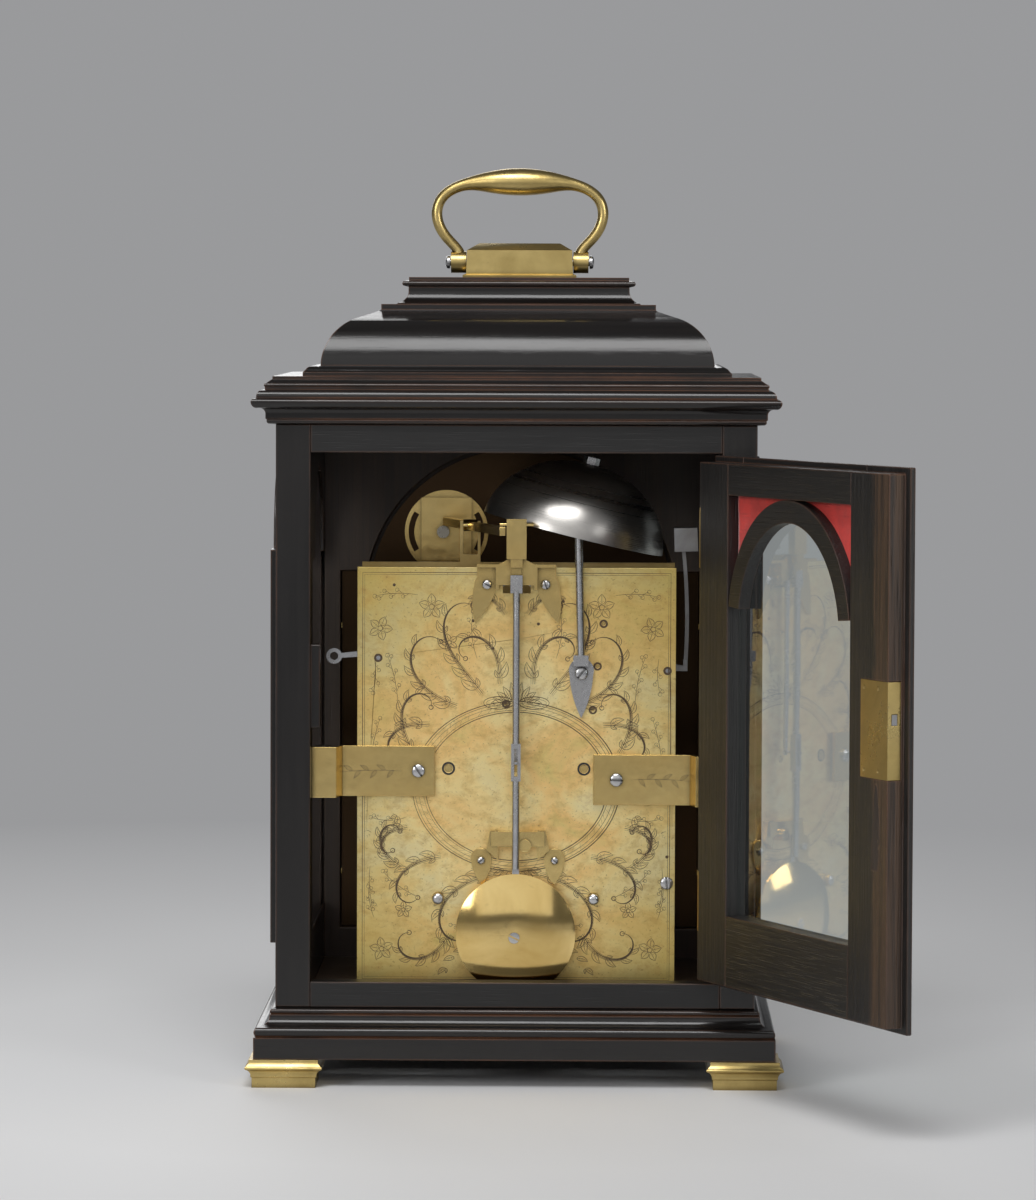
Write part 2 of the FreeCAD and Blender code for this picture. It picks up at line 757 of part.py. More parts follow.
def make_hinges():
    """Butt hinges of the rear door, and the pins that the front door turns on."""
    fixed = []
    moving = []
    third = size.hinge_length / 3
    for index, low in enumerate(HINGE_LOW):
        high = low + 3 * third
        leaf = cuboid(f"leaf_{index}", ("-104", "76", f"{low}"), (f"-{INNER}", f"{REAR}", f"{high}"))
        pin = rod(f"pin_{index}", f"{HINGE_PIN}", f"{3 * third}", (HINGE_X, HINGE_Y, low), (0, 0, 1))
        pieces = [leaf, pin]
        for part, z in enumerate((low, low + 2 * third + 0.2)):
            tag = f"{index}_{part}"
            length = third - 0.2
            far = (f"-{INNER}", f"{HINGE_Y}", f"{z + length}")
            web = cuboid(f"web_{tag}", ("-104", f"{REAR - 1}", f"{z}"), far)
            barrel = rod(f"barrel_{tag}", f"{KNUCKLE}", f"{length}", (HINGE_X, HINGE_Y, z), (0, 0, 1))
            pieces += [web, barrel]
        fixed.append(fuse(f"case_leaf_{index}", *pieces))

        plate = door_box(
            f"plate_{index}", DOOR_NEAR, DOOR_NEAR + 1.0, INNER_FACE, OUTER_FACE, low, low + 3 * third
        )
        middle = low + third + 0.1
        tab = door_box(
            f"tab_{index}", DOOR_NEAR - 0.4, DOOR_NEAR + 1.0, OUTER_FACE - 1, 0, middle, middle + third - 0.2
        )
        knuckle = rod(f"knuckle_{index}", f"{KNUCKLE}", f"{third - 0.2}", (0, 0, middle), (0, 0, 1))
        hole = f"{HINGE_PIN + 0.05}"
        bore = rod(f"knuckle_bore_{index}", hole, f"{third + 2}", (0, 0, middle - 1), (0, 0, 1))
        whole = fuse(f"door_leaf_solid_{index}", plate, tab, knuckle)
        moving.append(cut(f"door_leaf_{index}", whole, bore))
    for index, z in enumerate((size.base_top - 8, size.side_top - 8)):
        fixed.append(rod(f"door_pin_{index}", "2", "16", (PIVOT_X, PIVOT_Y, z), (0, 0, 1)))
    node(group("fixed_leaves", *fixed), "case_hinges")
    node(hang(group("moving_leaves", *moving)), "rear_door_hinge_leaves")


# ---------------------------------------------------------------- dial and hands


def make_dial():
    plate = new_body("dial_sheet")
    pad(plate, "XZ_Plane", dial_shape(), "dial_thickness", -(DIAL_FACE + size.dial_thickness))
    holes = circle(0, CENTRE, 4.2)
    for side in (-1, 1):
        holes += circle(side * size.fusee_offset, CENTRE, 5.6)
        holes += circle(side * size.subdial_offset, size.subdial_height, 1.5)
    pocket(plate, "XZ_Plane", holes, "20", -DIAL_FACE, both=True)
    node(plate, "dial_plate")

    band = circle(0, CENTRE, 83.0) + circle(0, CENTRE, 60.0)
    rings = [slab("chapter", "XZ_Plane", band, "1.4", -DIAL_FACE)]
    for side in (-1, 1):
        edge = circle(side * size.subdial_offset, size.subdial_height, 19.5)
        hole = circle(side * size.subdial_offset, size.subdial_height, 11.0)
        rings.append(slab(f"subdial_{side}", "XZ_Plane", edge + hole, "1.2", -DIAL_FACE))
    node(group("rings", *rings), "silvered_rings")


def hand(name, length, width, boss, loop, collar, depth):
    """A pierced steel hand pointing up: a boss, a waisted stem, a pierced loop and a tip."""
    body = new_body(name)
    z = CENTRE
    stem = outline(
        (-width, z),
        (width, z),
        (width * 0.55, z + length * 0.45),
        (width * 0.7, z + length - loop * 1.6),
        (0.5, z + length),
        (-0.5, z + length),
        (-width * 0.7, z + length - loop * 1.6),
        (-width * 0.55, z + length * 0.45),
    )
    pad(body, "XZ_Plane", stem, "1.2", -depth)
    pad(body, "XZ_Plane", circle(0, z, boss), "1.2", -depth)
    spread = z + length * 0.52
    for side in (-1, 1):
        ring = circle(side * loop * 0.8, spread, loop) + circle(side * loop * 0.8, spread, loop * 0.62)
        pad(body, "XZ_Plane", ring, "1.2", -depth)
    pocket(body, "XZ_Plane", circle(0, z, collar), "10", -depth, both=True)
    return body


HOUR_HAND_Y = -62.8
MINUTE_HAND_Y = -65.7
PIPE_IN, PIPE_OUT = 2.2, 3.4


def make_hands():
    node(hand("hour_pointer", 50.0, 2.6, 6.5, 5.2, PIPE_OUT, HOUR_HAND_Y), "hour_hand")
    node(hand("minute_pointer", 76.0, 2.0, 5.0, 3.6, 1.9, MINUTE_HAND_Y), "minute_hand")
    small = (("regulation", size.subdial_offset, 0.0), ("strike_silent", -size.subdial_offset, 35.0))
    for name, x, lean in small:
        place = on_arbor(x, size.subdial_height, DIAL_FACE)
        body = new_body(f"{name}_pointer", place)
        spindle = outline((0, -6.0), (1.4, -6.0), (1.4, 3.0), (2.6, 3.0), (2.6, 4.4), (0, 4.4))
        turn(body, spindle)
        tip = Vector(math.sin(math.radians(lean)), math.cos(math.radians(lean)), 0)
        across = Vector(tip.y, -tip.x, 0)
        point, tail = tip * 14, tip * -5
        corners = [point + across * 0.3, point - across * 0.3, tail - across * 1.3, tail + across * 1.3]
        pad(body, "XY_Plane", outline(*[(c.x, c.y) for c in corners]), "1.0", 3.2)
        if name == "regulation":
            pad(body, "XY_Plane", circle(CAM_THROW, 0, CAM_RADIUS), "2.0", -8.0)
        else:
            arm = outline((2.2, 2.2), (2.2, -3.0), (-22, -3.6), (-22, -0.6), (-6, 0.6), (-2.2, 2.2))
            pad(body, "XY_Plane", arm, "1.6", -6.0)
        node(body, f"{name}_hand")


# ---------------------------------------------------------------- movement plates and what is fixed to them


def make_plates():
    rect = outline(
        (-size.plate_half, size.floor_top),
        (size.plate_half, size.floor_top),
        (size.plate_half, size.plate_top),
        (-size.plate_half, size.plate_top),
    )
    back = slab("back_sheet", "XZ_Plane", rect, "plate_thickness", -BACK_PLATE_OUT)
    slot = outline((-7, 247), (7, 247), (7, 261), (-7, 261))
    pocket(back, "XZ_Plane", slot, "40", -BACK_PLATE_OUT, both=True)
    holes = []
    for x, z, radius in PIVOTS:
        holes += circle(x, z, radius + 0.06)
    pocket(back, "XZ_Plane", holes, "20", -BACK_PLATE_OUT, both=True)
    node(back, "back_plate")

    front = slab("front_sheet", "XZ_Plane", rect, "plate_thickness", -FRONT_PLATE_IN)
    pocket(front, "XZ_Plane", holes + circle(0, size.pallet_height, 0.96), "20", -FRONT_PLATE_IN, both=True)
    stud = rod("minute_stud", "1.5", "12.2", (MINUTE_X, FRONT_PLATE_OUT + 0.1, MINUTE_Z), (0, -1, 0))
    low = size.plate_top - 1
    fork_front, fork_rear = f"{ARM_Y - 1.5}", f"{ARM_Y + 1.5}"
    ears = []
    for side in (1, -1):
        near, far = sorted((ARM_X + side * 3.8, ARM_X + side * 5.2))
        top = f"{ARM_Z + 2.2}"
        ears.append(cuboid(f"fork_ear_{side}", (f"{near}", fork_front, f"{low}"), (f"{far}", fork_rear, top)))
    foot = cuboid(
        "fork_foot",
        (f"{ARM_X - 5.2}", fork_front, f"{low}"),
        (f"{ARM_X + 5.2}", fork_rear, f"{low + 5}"),
    )
    pin = rod("fork_pin", "1.0", "10.4", (ARM_X - 5.2, ARM_Y, ARM_Z), (1, 0, 0))
    node(fuse("front_sheet_and_fork", front, stud, foot, *ears, pin), "front_plate")

    half_profile = [(3.0, 0), (3.0, 20), (5.6, 22.5), (5.6, 29.5), (3.0, 32), (3.0, size.plate_gap)]
    pillars = []
    for index, (x, z) in enumerate(((70, 60), (-70, 60), (70, 245), (-70, 178))):
        profile = outline((0, 0), *half_profile, (0, size.plate_gap))
        pillars.append(turned(f"pillar_{index}", profile, on_arbor(x, z)))
    node(group("pillar_group", *pillars), "pillars")


def leaf(x, z, reach, lean, wide):
    """A leaf-shaped foot: round at the top, drawn to a point at its lower end."""
    angle = math.radians(lean)
    down = Vector(math.sin(angle), -math.cos(angle), 0)
    side = Vector(-down.y, down.x, 0)
    root = Vector(x, z, 0)

    def at(along, across):
        point = root + down * along + side * across
        return (point.x, point.y)

    return outline(
        at(reach, 0),
        (at(reach * 0.55, wide * 0.72), at(reach * 0.12, wide)),
        (at(-wide * 0.9, 0), at(reach * 0.12, -wide)),
        (at(reach * 0.55, -wide * 0.72), at(reach, 0)),
    )


COCK_BAR_Y = 68.0
COCK_BAR = 2.5


def make_back_cock():
    """Two leaf feet on the back plate, two arms that stand out, and the bar with the pivot hole."""
    cock = new_body("cock")
    for side in (1, -1):
        lobe = leaf(side * 15.4, 252.0, 21.0, side * 16.0, 5.6)
        pad(cock, "XZ_Plane", lobe, "1.6", -(BACK_PLATE_OUT + 1.6))
        arm = outline((side * 9, 249), (side * 20, 249), (side * 20, 262), (side * 9, 262))
        reach = COCK_BAR_Y + COCK_BAR - BACK_PLATE_OUT
        pad(cock, "XZ_Plane", arm, f"{reach}", -(COCK_BAR_Y + COCK_BAR))
        hollow = outline((side * 10.5, 247), (side * 21, 247), (side * 21, 260.4), (side * 10.5, 260.4))
        depth = COCK_BAR_Y + COCK_BAR - BACK_PLATE_OUT - 1.6
        pocket(cock, "XZ_Plane", hollow, f"{depth}", -(COCK_BAR_Y + COCK_BAR), reverse=True)
    bar = outline((-9.2, 251.5), (9.2, 251.5), (9.2, 262), (4, 264.5), (-4, 264.5), (-9.2, 262))
    pad(cock, "XZ_Plane", bar, f"{COCK_BAR}", -(COCK_BAR_Y + COCK_BAR))
    pocket(cock, "XZ_Plane", circle(0, size.pallet_height, 0.96), "10", -COCK_BAR_Y, both=True)
    node(cock, "back_cock")


def make_straps():
    straps = []
    inner = {1: 41.0, -1: 39.0}
    for side in (1, -1):
        near = BACK_PLATE_OUT
        plan = outline(
            (side * (inner[side] + 1.2), near),
            (side * (92.8 - 3.0), near),
            (side * 92.8, STRAP_FOOT_Y),
            (side * INNER, STRAP_FOOT_Y),
            (side * INNER, STRAP_FOOT_Y + 2.4),
            (side * 90.6, STRAP_FOOT_Y + 2.4),
            (side * 87.8, near + 3),
            (side * inner[side], near + 3),
            (side * inner[side], near + 1.2),
        )
        straps.append(slab(f"strap_{side}", "XY_Plane", plan, f"{STRAP_HEIGHT}", STRAP_LOW[side]))
    node(group("straps", *straps), "movement_straps")


def make_holdfast():
    piece = new_body("hold")
    for side in (1, -1):
        lobe = leaf(side * 18.6 - 1, 113.0, 14.0, side * -2.0, 5.2)
        pad(piece, "XZ_Plane", lobe, "1.5", -(BACK_PLATE_OUT + 1.5))
        wing = outline((side * 10 - 1, 112), (side * 16 - 1, 117), (side * 14 - 1, 127), (side * 10 - 1, 127))
        pad(piece, "XZ_Plane", wing, "4.0", -(BACK_PLATE_OUT + 4.0))
    bar = outline((-14.5, 119.0), (12.5, 119.0), (12.5, 126.5), (-14.5, 126.5))
    pad(piece, "XZ_Plane", bar, "5.0", -(BACK_PLATE_OUT + 5.0))
    pad(piece, "XZ_Plane", circle(-4.6, 119.5, 3.2), "6.8", -(BACK_PLATE_OUT + 6.8))
    node(piece, "holdfast")


BELL_X, BELL_Y, BELL_Z = -28.2, 27.0, 276.0
BELL_AXIS = Rotation(Vector(0, 1, 0), -size.bell_tilt)


def make_bell():
    r = size.bell_radius
    dome = outline(
        (r, 0),
        ((r - 4.6, 14.5), (r - 14.5, 25.5)),
        ((22.0, 32.2), (2.4, 36.0)),
        (2.4, 34.0),
        ((21.0, 30.3), (r - 16.0, 24.0)),
        ((r - 7.0, 13.5), (r - 3.0, 0)),
    )
    node(turned("bell_metal", dome, Placement(Vector(BELL_X, BELL_Y, BELL_Z), BELL_AXIS)), "bell")


def rounded_path(points, radius):
    """Straight runs joined by arcs."""
    edges = []
    here = points[0]
    for before, corner, after in zip(points, points[1:], points[2:]):
        back = (before - corner).normalize()
        ahead = (after - corner).normalize()
        half = back.getAngle(ahead) / 2
        trim = radius / math.tan(half)
        start = corner + back * trim
        end = corner + ahead * trim
        inward = (back + ahead).normalize()
        middle = corner + inward * (radius / math.sin(half) - radius)
        edges += [Part.LineSegment(here, start).toShape(), Part.Arc(start, middle, end).toShape()]
        here = end
    edges.append(Part.LineSegment(here, points[-1]).toShape())
    return Part.Wire(edges)


def make_bell_stand():
    axis = BELL_AXIS.multVec(Vector(0, 0, 1))
    centre = Vector(BELL_X, BELL_Y, BELL_Z)
    points = [
        Vector(-32.6, BACK_PLATE_OUT + 3.6, 213.0),
        Vector(-31.0, BACK_PLATE_OUT + 3.6, 285.0),
        centre + axis * 9.4,
        centre + axis * 40.5,
    ]
    path = rounded_path(points, 7.0)
    section = Part.Wire([Part.Circle(points[0], points[1] - points[0], 2.0).toShape()])
    stem = doc.addObject("Part::Feature", "stand_stem")
    stem.Shape = path.makePipeShell([section], True, False)
    foot = slab("stand_foot", "XZ_Plane", leaf(-32.8, 209.0, 25.0, 0.0, 6.0), "1.8", -(BACK_PLATE_OUT + 1.8))
    collar = cuboid(
        "stand_collar",
        ("-36.4", f"{BACK_PLATE_OUT}", "210.5"),
        ("-28.8", f"{BACK_PLATE_OUT + 5.6}", "216"),
    )
    nut = doc.addObject("Part::Prism", "stand_nut")
    nut.Polygon = 6
    nut.Circumradius = 4.2
    nut.Height = 3.6
    nut.Placement = Placement(centre + axis * 36.4, BELL_AXIS)
    node(fuse("stand", stem, foot, collar, nut), "bell_stand")


SCREWS = (
    (49.5, BACK_PLATE_OUT + 3, 157.0, 3.3),
    (-50.8, BACK_PLATE_OUT + 3, 152.8, 3.3),
    (15.0, BACK_PLATE_OUT + 1.6, 251.5, 2.4),
    (-14.6, BACK_PLATE_OUT + 1.6, 251.5, 2.4),
    (-32.9, BACK_PLATE_OUT + 1.8, 206.8, 3.2),
    (17.6, BACK_PLATE_OUT + 1.5, 111.5, 1.9),
    (-19.6, BACK_PLATE_OUT + 1.5, 111.5, 1.9),
    (-76.4, BACK_PLATE_OUT, 100.2, 3.2),
)


def make_screws():
    heads = []
    for index, (x, y, z, radius) in enumerate(SCREWS):
        heads.append(rod(f"screw_{index}", f"{radius}", "1.6", (x, y, z), (0, 1, 0)))
    for side in (1, -1):
        profile = outline((0, 0), (1.95, 0), (1.95, 14.6), (3.4, 14.6), ((2.7, 16.2), (1.0, 17.0)), (0, 17.0))
        turn_out = Rotation(Vector(0, 0, 1), Vector(side, 0, 0))
        place = Placement(Vector(side * 21.4, 0, size.handle_pivot_height), turn_out)
        heads.append(turned(f"handle_screw_{side}", profile, place))
    node(group("screw_group", *heads), "screws")


# ---------------------------------------------------------------- wheels


def toothed(count, module, aim, flare=None):
    """A closed ring of teeth. A wheel's teeth are points, a pinion's leaves are narrow, with flat ends.

    One gap of a wheel, or one leaf of a pinion, points in the direction aim, in degrees."""
    radius = count * module / 2
    pitch = 2 * math.pi / count
    start = math.radians(aim)
    corners = []
    for index in range(count):
        if flare is None:
            middle = start + (index + 0.5) * pitch
            corners.append((radius - 1.15 * module, middle - pitch / 2))
            corners.append((radius + 0.85 * module, middle))
        else:
            middle = start + index * pitch
            root, tip = flare
            inner = radius - 1.15 * module
            outer = radius + 0.8 * module
            corners += [(inner, middle - root * pitch), (outer, middle - tip * pitch)]
            corners += [(outer, middle + tip * pitch), (inner, middle + root * pitch)]
    points = [(r * math.cos(a), r * math.sin(a)) for r, a in corners]
    return outline(points[0], *points[1:])


LEAF = (0.15, 0.06)


def crossings(body, count, inner, outer, arm, low, thickness):
    """Cuts the windows between a wheel's arms."""
    for index in range(count):
        middle = math.radians(FULL_TURN / count * (index + 0.5))
        reach = math.pi / count

        def at(radius, sign):
            angle = middle + sign * (reach - arm / radius)
            return (radius * math.cos(angle), radius * math.sin(angle))

        def top(radius):
            return (radius * math.cos(middle), radius * math.sin(middle))

        gap = outline(
            at(inner, -1),
            at(outer, -1),
            (top(outer), at(outer, 1)),
            at(inner, 1),
            (top(inner), at(inner, -1)),
        )
        pocket(body, "XY_Plane", gap, f"{thickness + 1}", low - 0.5, reverse=True)


def arbor(body, *steps):
    """A turned arbor from pairs of (radius, height), each radius held up to the next height."""
    corners = [(0, steps[0][1])]
    for (radius, low), (_, high) in zip(steps, steps[1:]):
        corners += [(radius, low), (radius, high)]
    corners.append((0, steps[-1][1]))
    turn(body, outline(*corners))


def heading(a, b):
    return math.degrees(math.atan2(b[1] - a[1], b[0] - a[0]))


def beside(a, b, reach_a, reach_b, side):
    """The place at reach_a from a and reach_b from b, to one side of the line between them."""
    dx, dz = b[0] - a[0], b[1] - a[1]
    span = math.hypot(dx, dz)
    along = (span**2 + reach_a**2 - reach_b**2) / (2 * span)
    off = side * math.sqrt(reach_a**2 - along**2)
    return (a[0] + along * dx / span - off * dz / span, a[1] + along * dz / span + off * dx / span)


PINION = 6
GREAT_TEETH = 72
CENTRE_TEETH = 72
THIRD_TEETH = 60
ESCAPE_TEETH = 34
PIN_TEETH = 60
WARNING_TEETH = 54
CANNON_TEETH, MINUTE_TEETH = 10, 30
MINUTE_PINION, HOUR_TEETH = 8, 32

GOING_FUSEE = (size.fusee_offset, CENTRE)
STRIKE_FUSEE = (-size.fusee_offset, CENTRE)
MIDDLE = (0.0, CENTRE)
# the pallets span eight and a half teeth, a right angle at the escape wheel
ESCAPE = (0.0, size.pallet_height - size.escape_radius * math.sqrt(2))
TRAIN_MODULE = 33.3 * 2 / (CENTRE_TEETH + PINION)
THIRD_MODULE = 33.3 * 2 / (THIRD_TEETH + PINION)
THIRD = beside(MIDDLE, ESCAPE, 33.3, 33.3, -1)
GREAT_MODULE = size.fusee_offset * 2 / (GREAT_TEETH + PINION)
STRIKE_MODULE = 30.3 * 2 / (GREAT_TEETH + PINION)
PIN_PLACE = (STRIKE_FUSEE[0] - 4.4, STRIKE_FUSEE[1] + math.sqrt(30.3**2 - 4.4**2))
PIN_MODULE = 22.3 * 2 / (PIN_TEETH + PINION)
WARNING_PLACE = (PIN_PLACE[0] - 2.3, PIN_PLACE[1] + math.sqrt(22.3**2 - 2.3**2))
WARNING_MODULE = 21.8 * 2 / (WARNING_TEETH + PINION)
FLY_PLACE = (WARNING_PLACE[0] - 3.0, WARNING_PLACE[1] + math.sqrt(21.8**2 - 3.0**2))
MOTION_MODULE = 0.9
MINUTE_REACH = (CANNON_TEETH + MINUTE_TEETH) * MOTION_MODULE / 2
MINUTE_X = MINUTE_REACH * math.sqrt(0.5)
MINUTE_Z = CENTRE - MINUTE_REACH * math.sqrt(0.5)
MINUTE = (MINUTE_X, MINUTE_Z)
HAMMER = (-76.4, 208.0)
REPEAT = (70.0, 214.0)
BARRELS = ((size.barrel_offset, size.barrel_height), (-size.barrel_offset, size.barrel_height))

# every hole through both plates, with the radius of the pivot that turns in it
FINE, STOUT, HEAVY = 0.9, 1.4, 3.0
PIVOTS = (
    (*MIDDLE, 1.9),
    (*THIRD, FINE),
    (*ESCAPE, FINE),
    (*GOING_FUSEE, 2.0),
    (*STRIKE_FUSEE, 2.0),
    (*BARRELS[0], HEAVY),
    (*BARRELS[1], HEAVY),
    (*PIN_PLACE, FINE),
    (*WARNING_PLACE, FINE),
    (*FLY_PLACE, FINE),
    (*HAMMER, STOUT),
    (*REPEAT, STOUT),
)
GAP = size.plate_gap
THROUGH = GAP + size.plate_thickness


def make_going_train():
    for name, (x, z) in (("going", BARRELS[0]), ("strike", BARRELS[1])):
        body = new_body(f"{name}_drum", on_arbor(x, z))
        r = size.barrel_radius
        drum = [(r, 8.0), (r - 0.8, 10.0), (r, 42.0)]
        arbor(body, (HEAVY, -6.4), (5.0, 0.4), *drum, (5.0, 44.0), (HEAVY, 51.6), (0, THROUGH))
        node(body, f"{name}_barrel")

    for name, place, module, aim in (
        ("going", GOING_FUSEE, GREAT_MODULE, heading(GOING_FUSEE, MIDDLE)),
        ("strike", STRIKE_FUSEE, STRIKE_MODULE, heading(STRIKE_FUSEE, PIN_PLACE)),
    ):
        body = new_body(f"{name}_cone", on_arbor(*place))
        turns = 5
        groove = [(11.0, 17.0)]
        for index in range(turns):
            radius = 11.0 + 10.5 * (index / turns) ** 1.4
            low = 17.6 + index * 4.5
            groove += [(radius + 1.0, low), (radius, low + 2.2)]
        groove += [(22.5, 39.9), (22.5, 41.0)]
        profile = [(0, -3.0), (2.0, -3.0), (2.0, 0.4), (2.3, 0.4), (2.3, 17.0)]
        profile += [*groove, (3.4, 41.0), (3.4, 51.6)]
        profile += [(2.0, 51.6), (2.0, 106.0), (1.8, 106.0), (1.8, 116.5), (0, 116.5)]
        turn(body, outline(*profile))
        pad(body, "XY_Plane", toothed(GREAT_TEETH, module, aim), "3", 41.0)
        node(body, f"{name}_fusee")

    body = new_body("centre", on_arbor(*MIDDLE))
    arbor(body, (1.9, -2.8), (2.6, 0.4), (1.3, 12.0), (1.9, 46.5), (0, 127.2))
    pad(body, "XY_Plane", toothed(CENTRE_TEETH, TRAIN_MODULE, heading(MIDDLE, THIRD)), "1.8", 8.6)
    crossings(body, 4, 6.5, 26.0, 2.0, 8.6, 1.8)
    pad(body, "XY_Plane", toothed(PINION, GREAT_MODULE, heading(MIDDLE, GOING_FUSEE), LEAF), "7", 39.0)
    pad(body, "XY_Plane", toothed(CANNON_TEETH, MOTION_MODULE, heading(MIDDLE, MINUTE), LEAF), "4", 57.0)
    node(body, "centre_wheel")

    body = new_body("third", on_arbor(*THIRD))
    arbor(body, (FINE, -2.8), (1.3, 0.4), (FINE, 51.6), (0, THROUGH))
    pad(body, "XY_Plane", toothed(PINION, TRAIN_MODULE, heading(THIRD, MIDDLE), LEAF), "4.6", 7.2)
    pad(body, "XY_Plane", toothed(THIRD_TEETH, THIRD_MODULE, heading(THIRD, ESCAPE)), "1.8", 13.4)
    crossings(body, 4, 5.5, 25.0, 2.0, 13.4, 1.8)
    node(body, "third_wheel")

    body = new_body("escape", on_arbor(*ESCAPE))
    arbor(body, (FINE, -2.8), (1.3, 0.4), (FINE, 51.6), (0, THROUGH))
    pad(body, "XY_Plane", toothed(PINION, THIRD_MODULE, heading(ESCAPE, THIRD), LEAF), "4.6", 12.0)
    pitch = 2 * math.pi / ESCAPE_TEETH
    first = math.radians(135.0) - pitch / 4
    r = size.escape_radius
    corners = []
    for index in range(ESCAPE_TEETH):
        angle = first + index * pitch
        for radius, turn_by in ((r - 4.0, -0.40), (r, -0.035), (r, 0.035), (r - 4.0, 0.12)):
            place = angle + turn_by * pitch
            corners.append((radius * math.cos(place), radius * math.sin(place)))
    pad(body, "XY_Plane", outline(corners[0], *corners[1:]), "1.6", 4.0)
    crossings(body, 4, 4.0, 16.6, 1.6, 4.0, 1.6)
    node(body, "escape_wheel")


CRUTCH_DROP = 95.0


def make_anchor():
    """The pallets, their arbor, and the crutch behind the back plate."""
    body = new_body("pallets", on_arbor(0, size.pallet_height))
    bar = BACK_PLATE_IN - COCK_BAR_Y
    arbor(body, (FINE, bar - COCK_BAR), (1.5, bar + 0.3), (FINE, 51.6), (0, THROUGH))
    reach = size.escape_radius
    thick = 0.45
    diagonal = math.sqrt(0.5)

    def at(along, into, side):
        """along the arm's line from the arbor, and into the wheel, square to it"""
        x = (along + into * -1) * diagonal
        y = -(along + into) * diagonal
        return (side * x, y)

    for side in (1, -1):
        arm = outline(
            at(0, -2.4, side),
            at(reach - 3.4, -4.0, side),
            at(reach + thick, -4.4, side),
            at(reach + thick, -0.15, side),
            at(reach - thick, -0.15, side),
            at(reach - thick - 0.4, -2.0, side),
            at(reach - 4.4, -1.8, side),
            at(2.4, 1.6, side),
        )
        pad(body, "XY_Plane", arm, "1.6", 4.0)
    pad(body, "XY_Plane", circle(0, 0, 3.0), "3.0", 3.3)
    back = BACK_PLATE_IN - 65.3
    crutch = outline((-1.6, 1.8), (1.6, 1.8), (1.1, -CRUTCH_DROP - 1.6), (-1.1, -CRUTCH_DROP - 1.6))
    pad(body, "XY_Plane", crutch, "1.4", back - 1.4)
    pad(body, "XY_Plane", circle(0, -CRUTCH_DROP, 0.7), "10.4", back - 11.2)
    node(body, "anchor")


PENDULUM_Y = 73.0
BOB_Y = 71.0
BOB_EDGE = 1.2
SLOT_LOW, SLOT_HIGH = 155.0, 169.2


def make_pendulum():
    """A steel rod hung on a spring strip, slotted for the crutch pin, and its brass bob.

    The rod's lower end is a flat strap that the bob slides on.
    """

    def strap(name):
        return cuboid(name, ("-1.7", f"{BOB_Y - 0.4}", "47"), ("1.7", f"{BOB_Y + 0.5}", "112"))

    top = size.pallet_height - 0.4
    upper = rod("rod_upper", "1.9", f"{top - 8 - SLOT_HIGH - 2}", (0, PENDULUM_Y, SLOT_HIGH + 2), (0, 0, 1))
    lower = rod("rod_lower", "1.9", f"{SLOT_LOW - 2 - 108}", (0, PENDULUM_Y, 108), (0, 0, 1))

    def across_rod(name, half_width, half_depth, low, high):
        near = (f"-{half_width}", f"{PENDULUM_Y - half_depth}", f"{low}")
        return cuboid(name, near, (f"{half_width}", f"{PENDULUM_Y + half_depth}", f"{high}"))

    chop = across_rod("rod_chop", 3, 1.5, top - 9, top)
    eye = across_rod("rod_eye", 2.4, 1.7, SLOT_LOW - 2.4, SLOT_HIGH + 2.4)
    slot = across_rod("rod_slot", 0.8, 5, SLOT_LOW, SLOT_HIGH)
    whole = fuse("rod_solid", upper, lower, chop, eye, strap("rod_strap"))
    node(cut("rod_whole", whole, slot), "pendulum_rod")

    half = size.bob_thickness / 2
    r = size.bob_radius
    middle = (r * 0.6, half * 0.72)
    lens = outline(
        (0, -half),
        (1.5, -half),
        ((middle[0], -middle[1]), (r, -BOB_EDGE / 2)),
        (r, BOB_EDGE / 2),
        (middle, (1.5, half)),
        (0, half),
    )
    disc = turned("bob_lens", lens, Placement(Vector(0, BOB_Y, size.bob_height), FACING_FRONT))
    nut = rod("bob_screw", "2.9", "1.2", (0.6, BOB_Y + half - 0.8, size.bob_height - 1.6), (0, 1, 0))
    slit = strap("bob_slit")
    node(cut("bob_whole", fuse("bob_and_screw", disc, nut), slit), "pendulum_bob")

    block = cuboid("chops", ("-5", "71", "264.8"), ("5", "75.4", "285"))
    cheek = cuboid("chops_low", ("-3", "71.4", "260.6"), ("3", "75", "265"))
    strip = cuboid("spring_strip", ("-2.4", "72.85", f"{size.pallet_height - 0.2}"), ("2.4", "73.15", "262"))
    pin = rod("cross_pin", "1", "17", (-8.5, 73.2, 282.2), (1, 0, 0))
    node(fuse("suspension", block, cheek, strip, pin), "suspension_block")


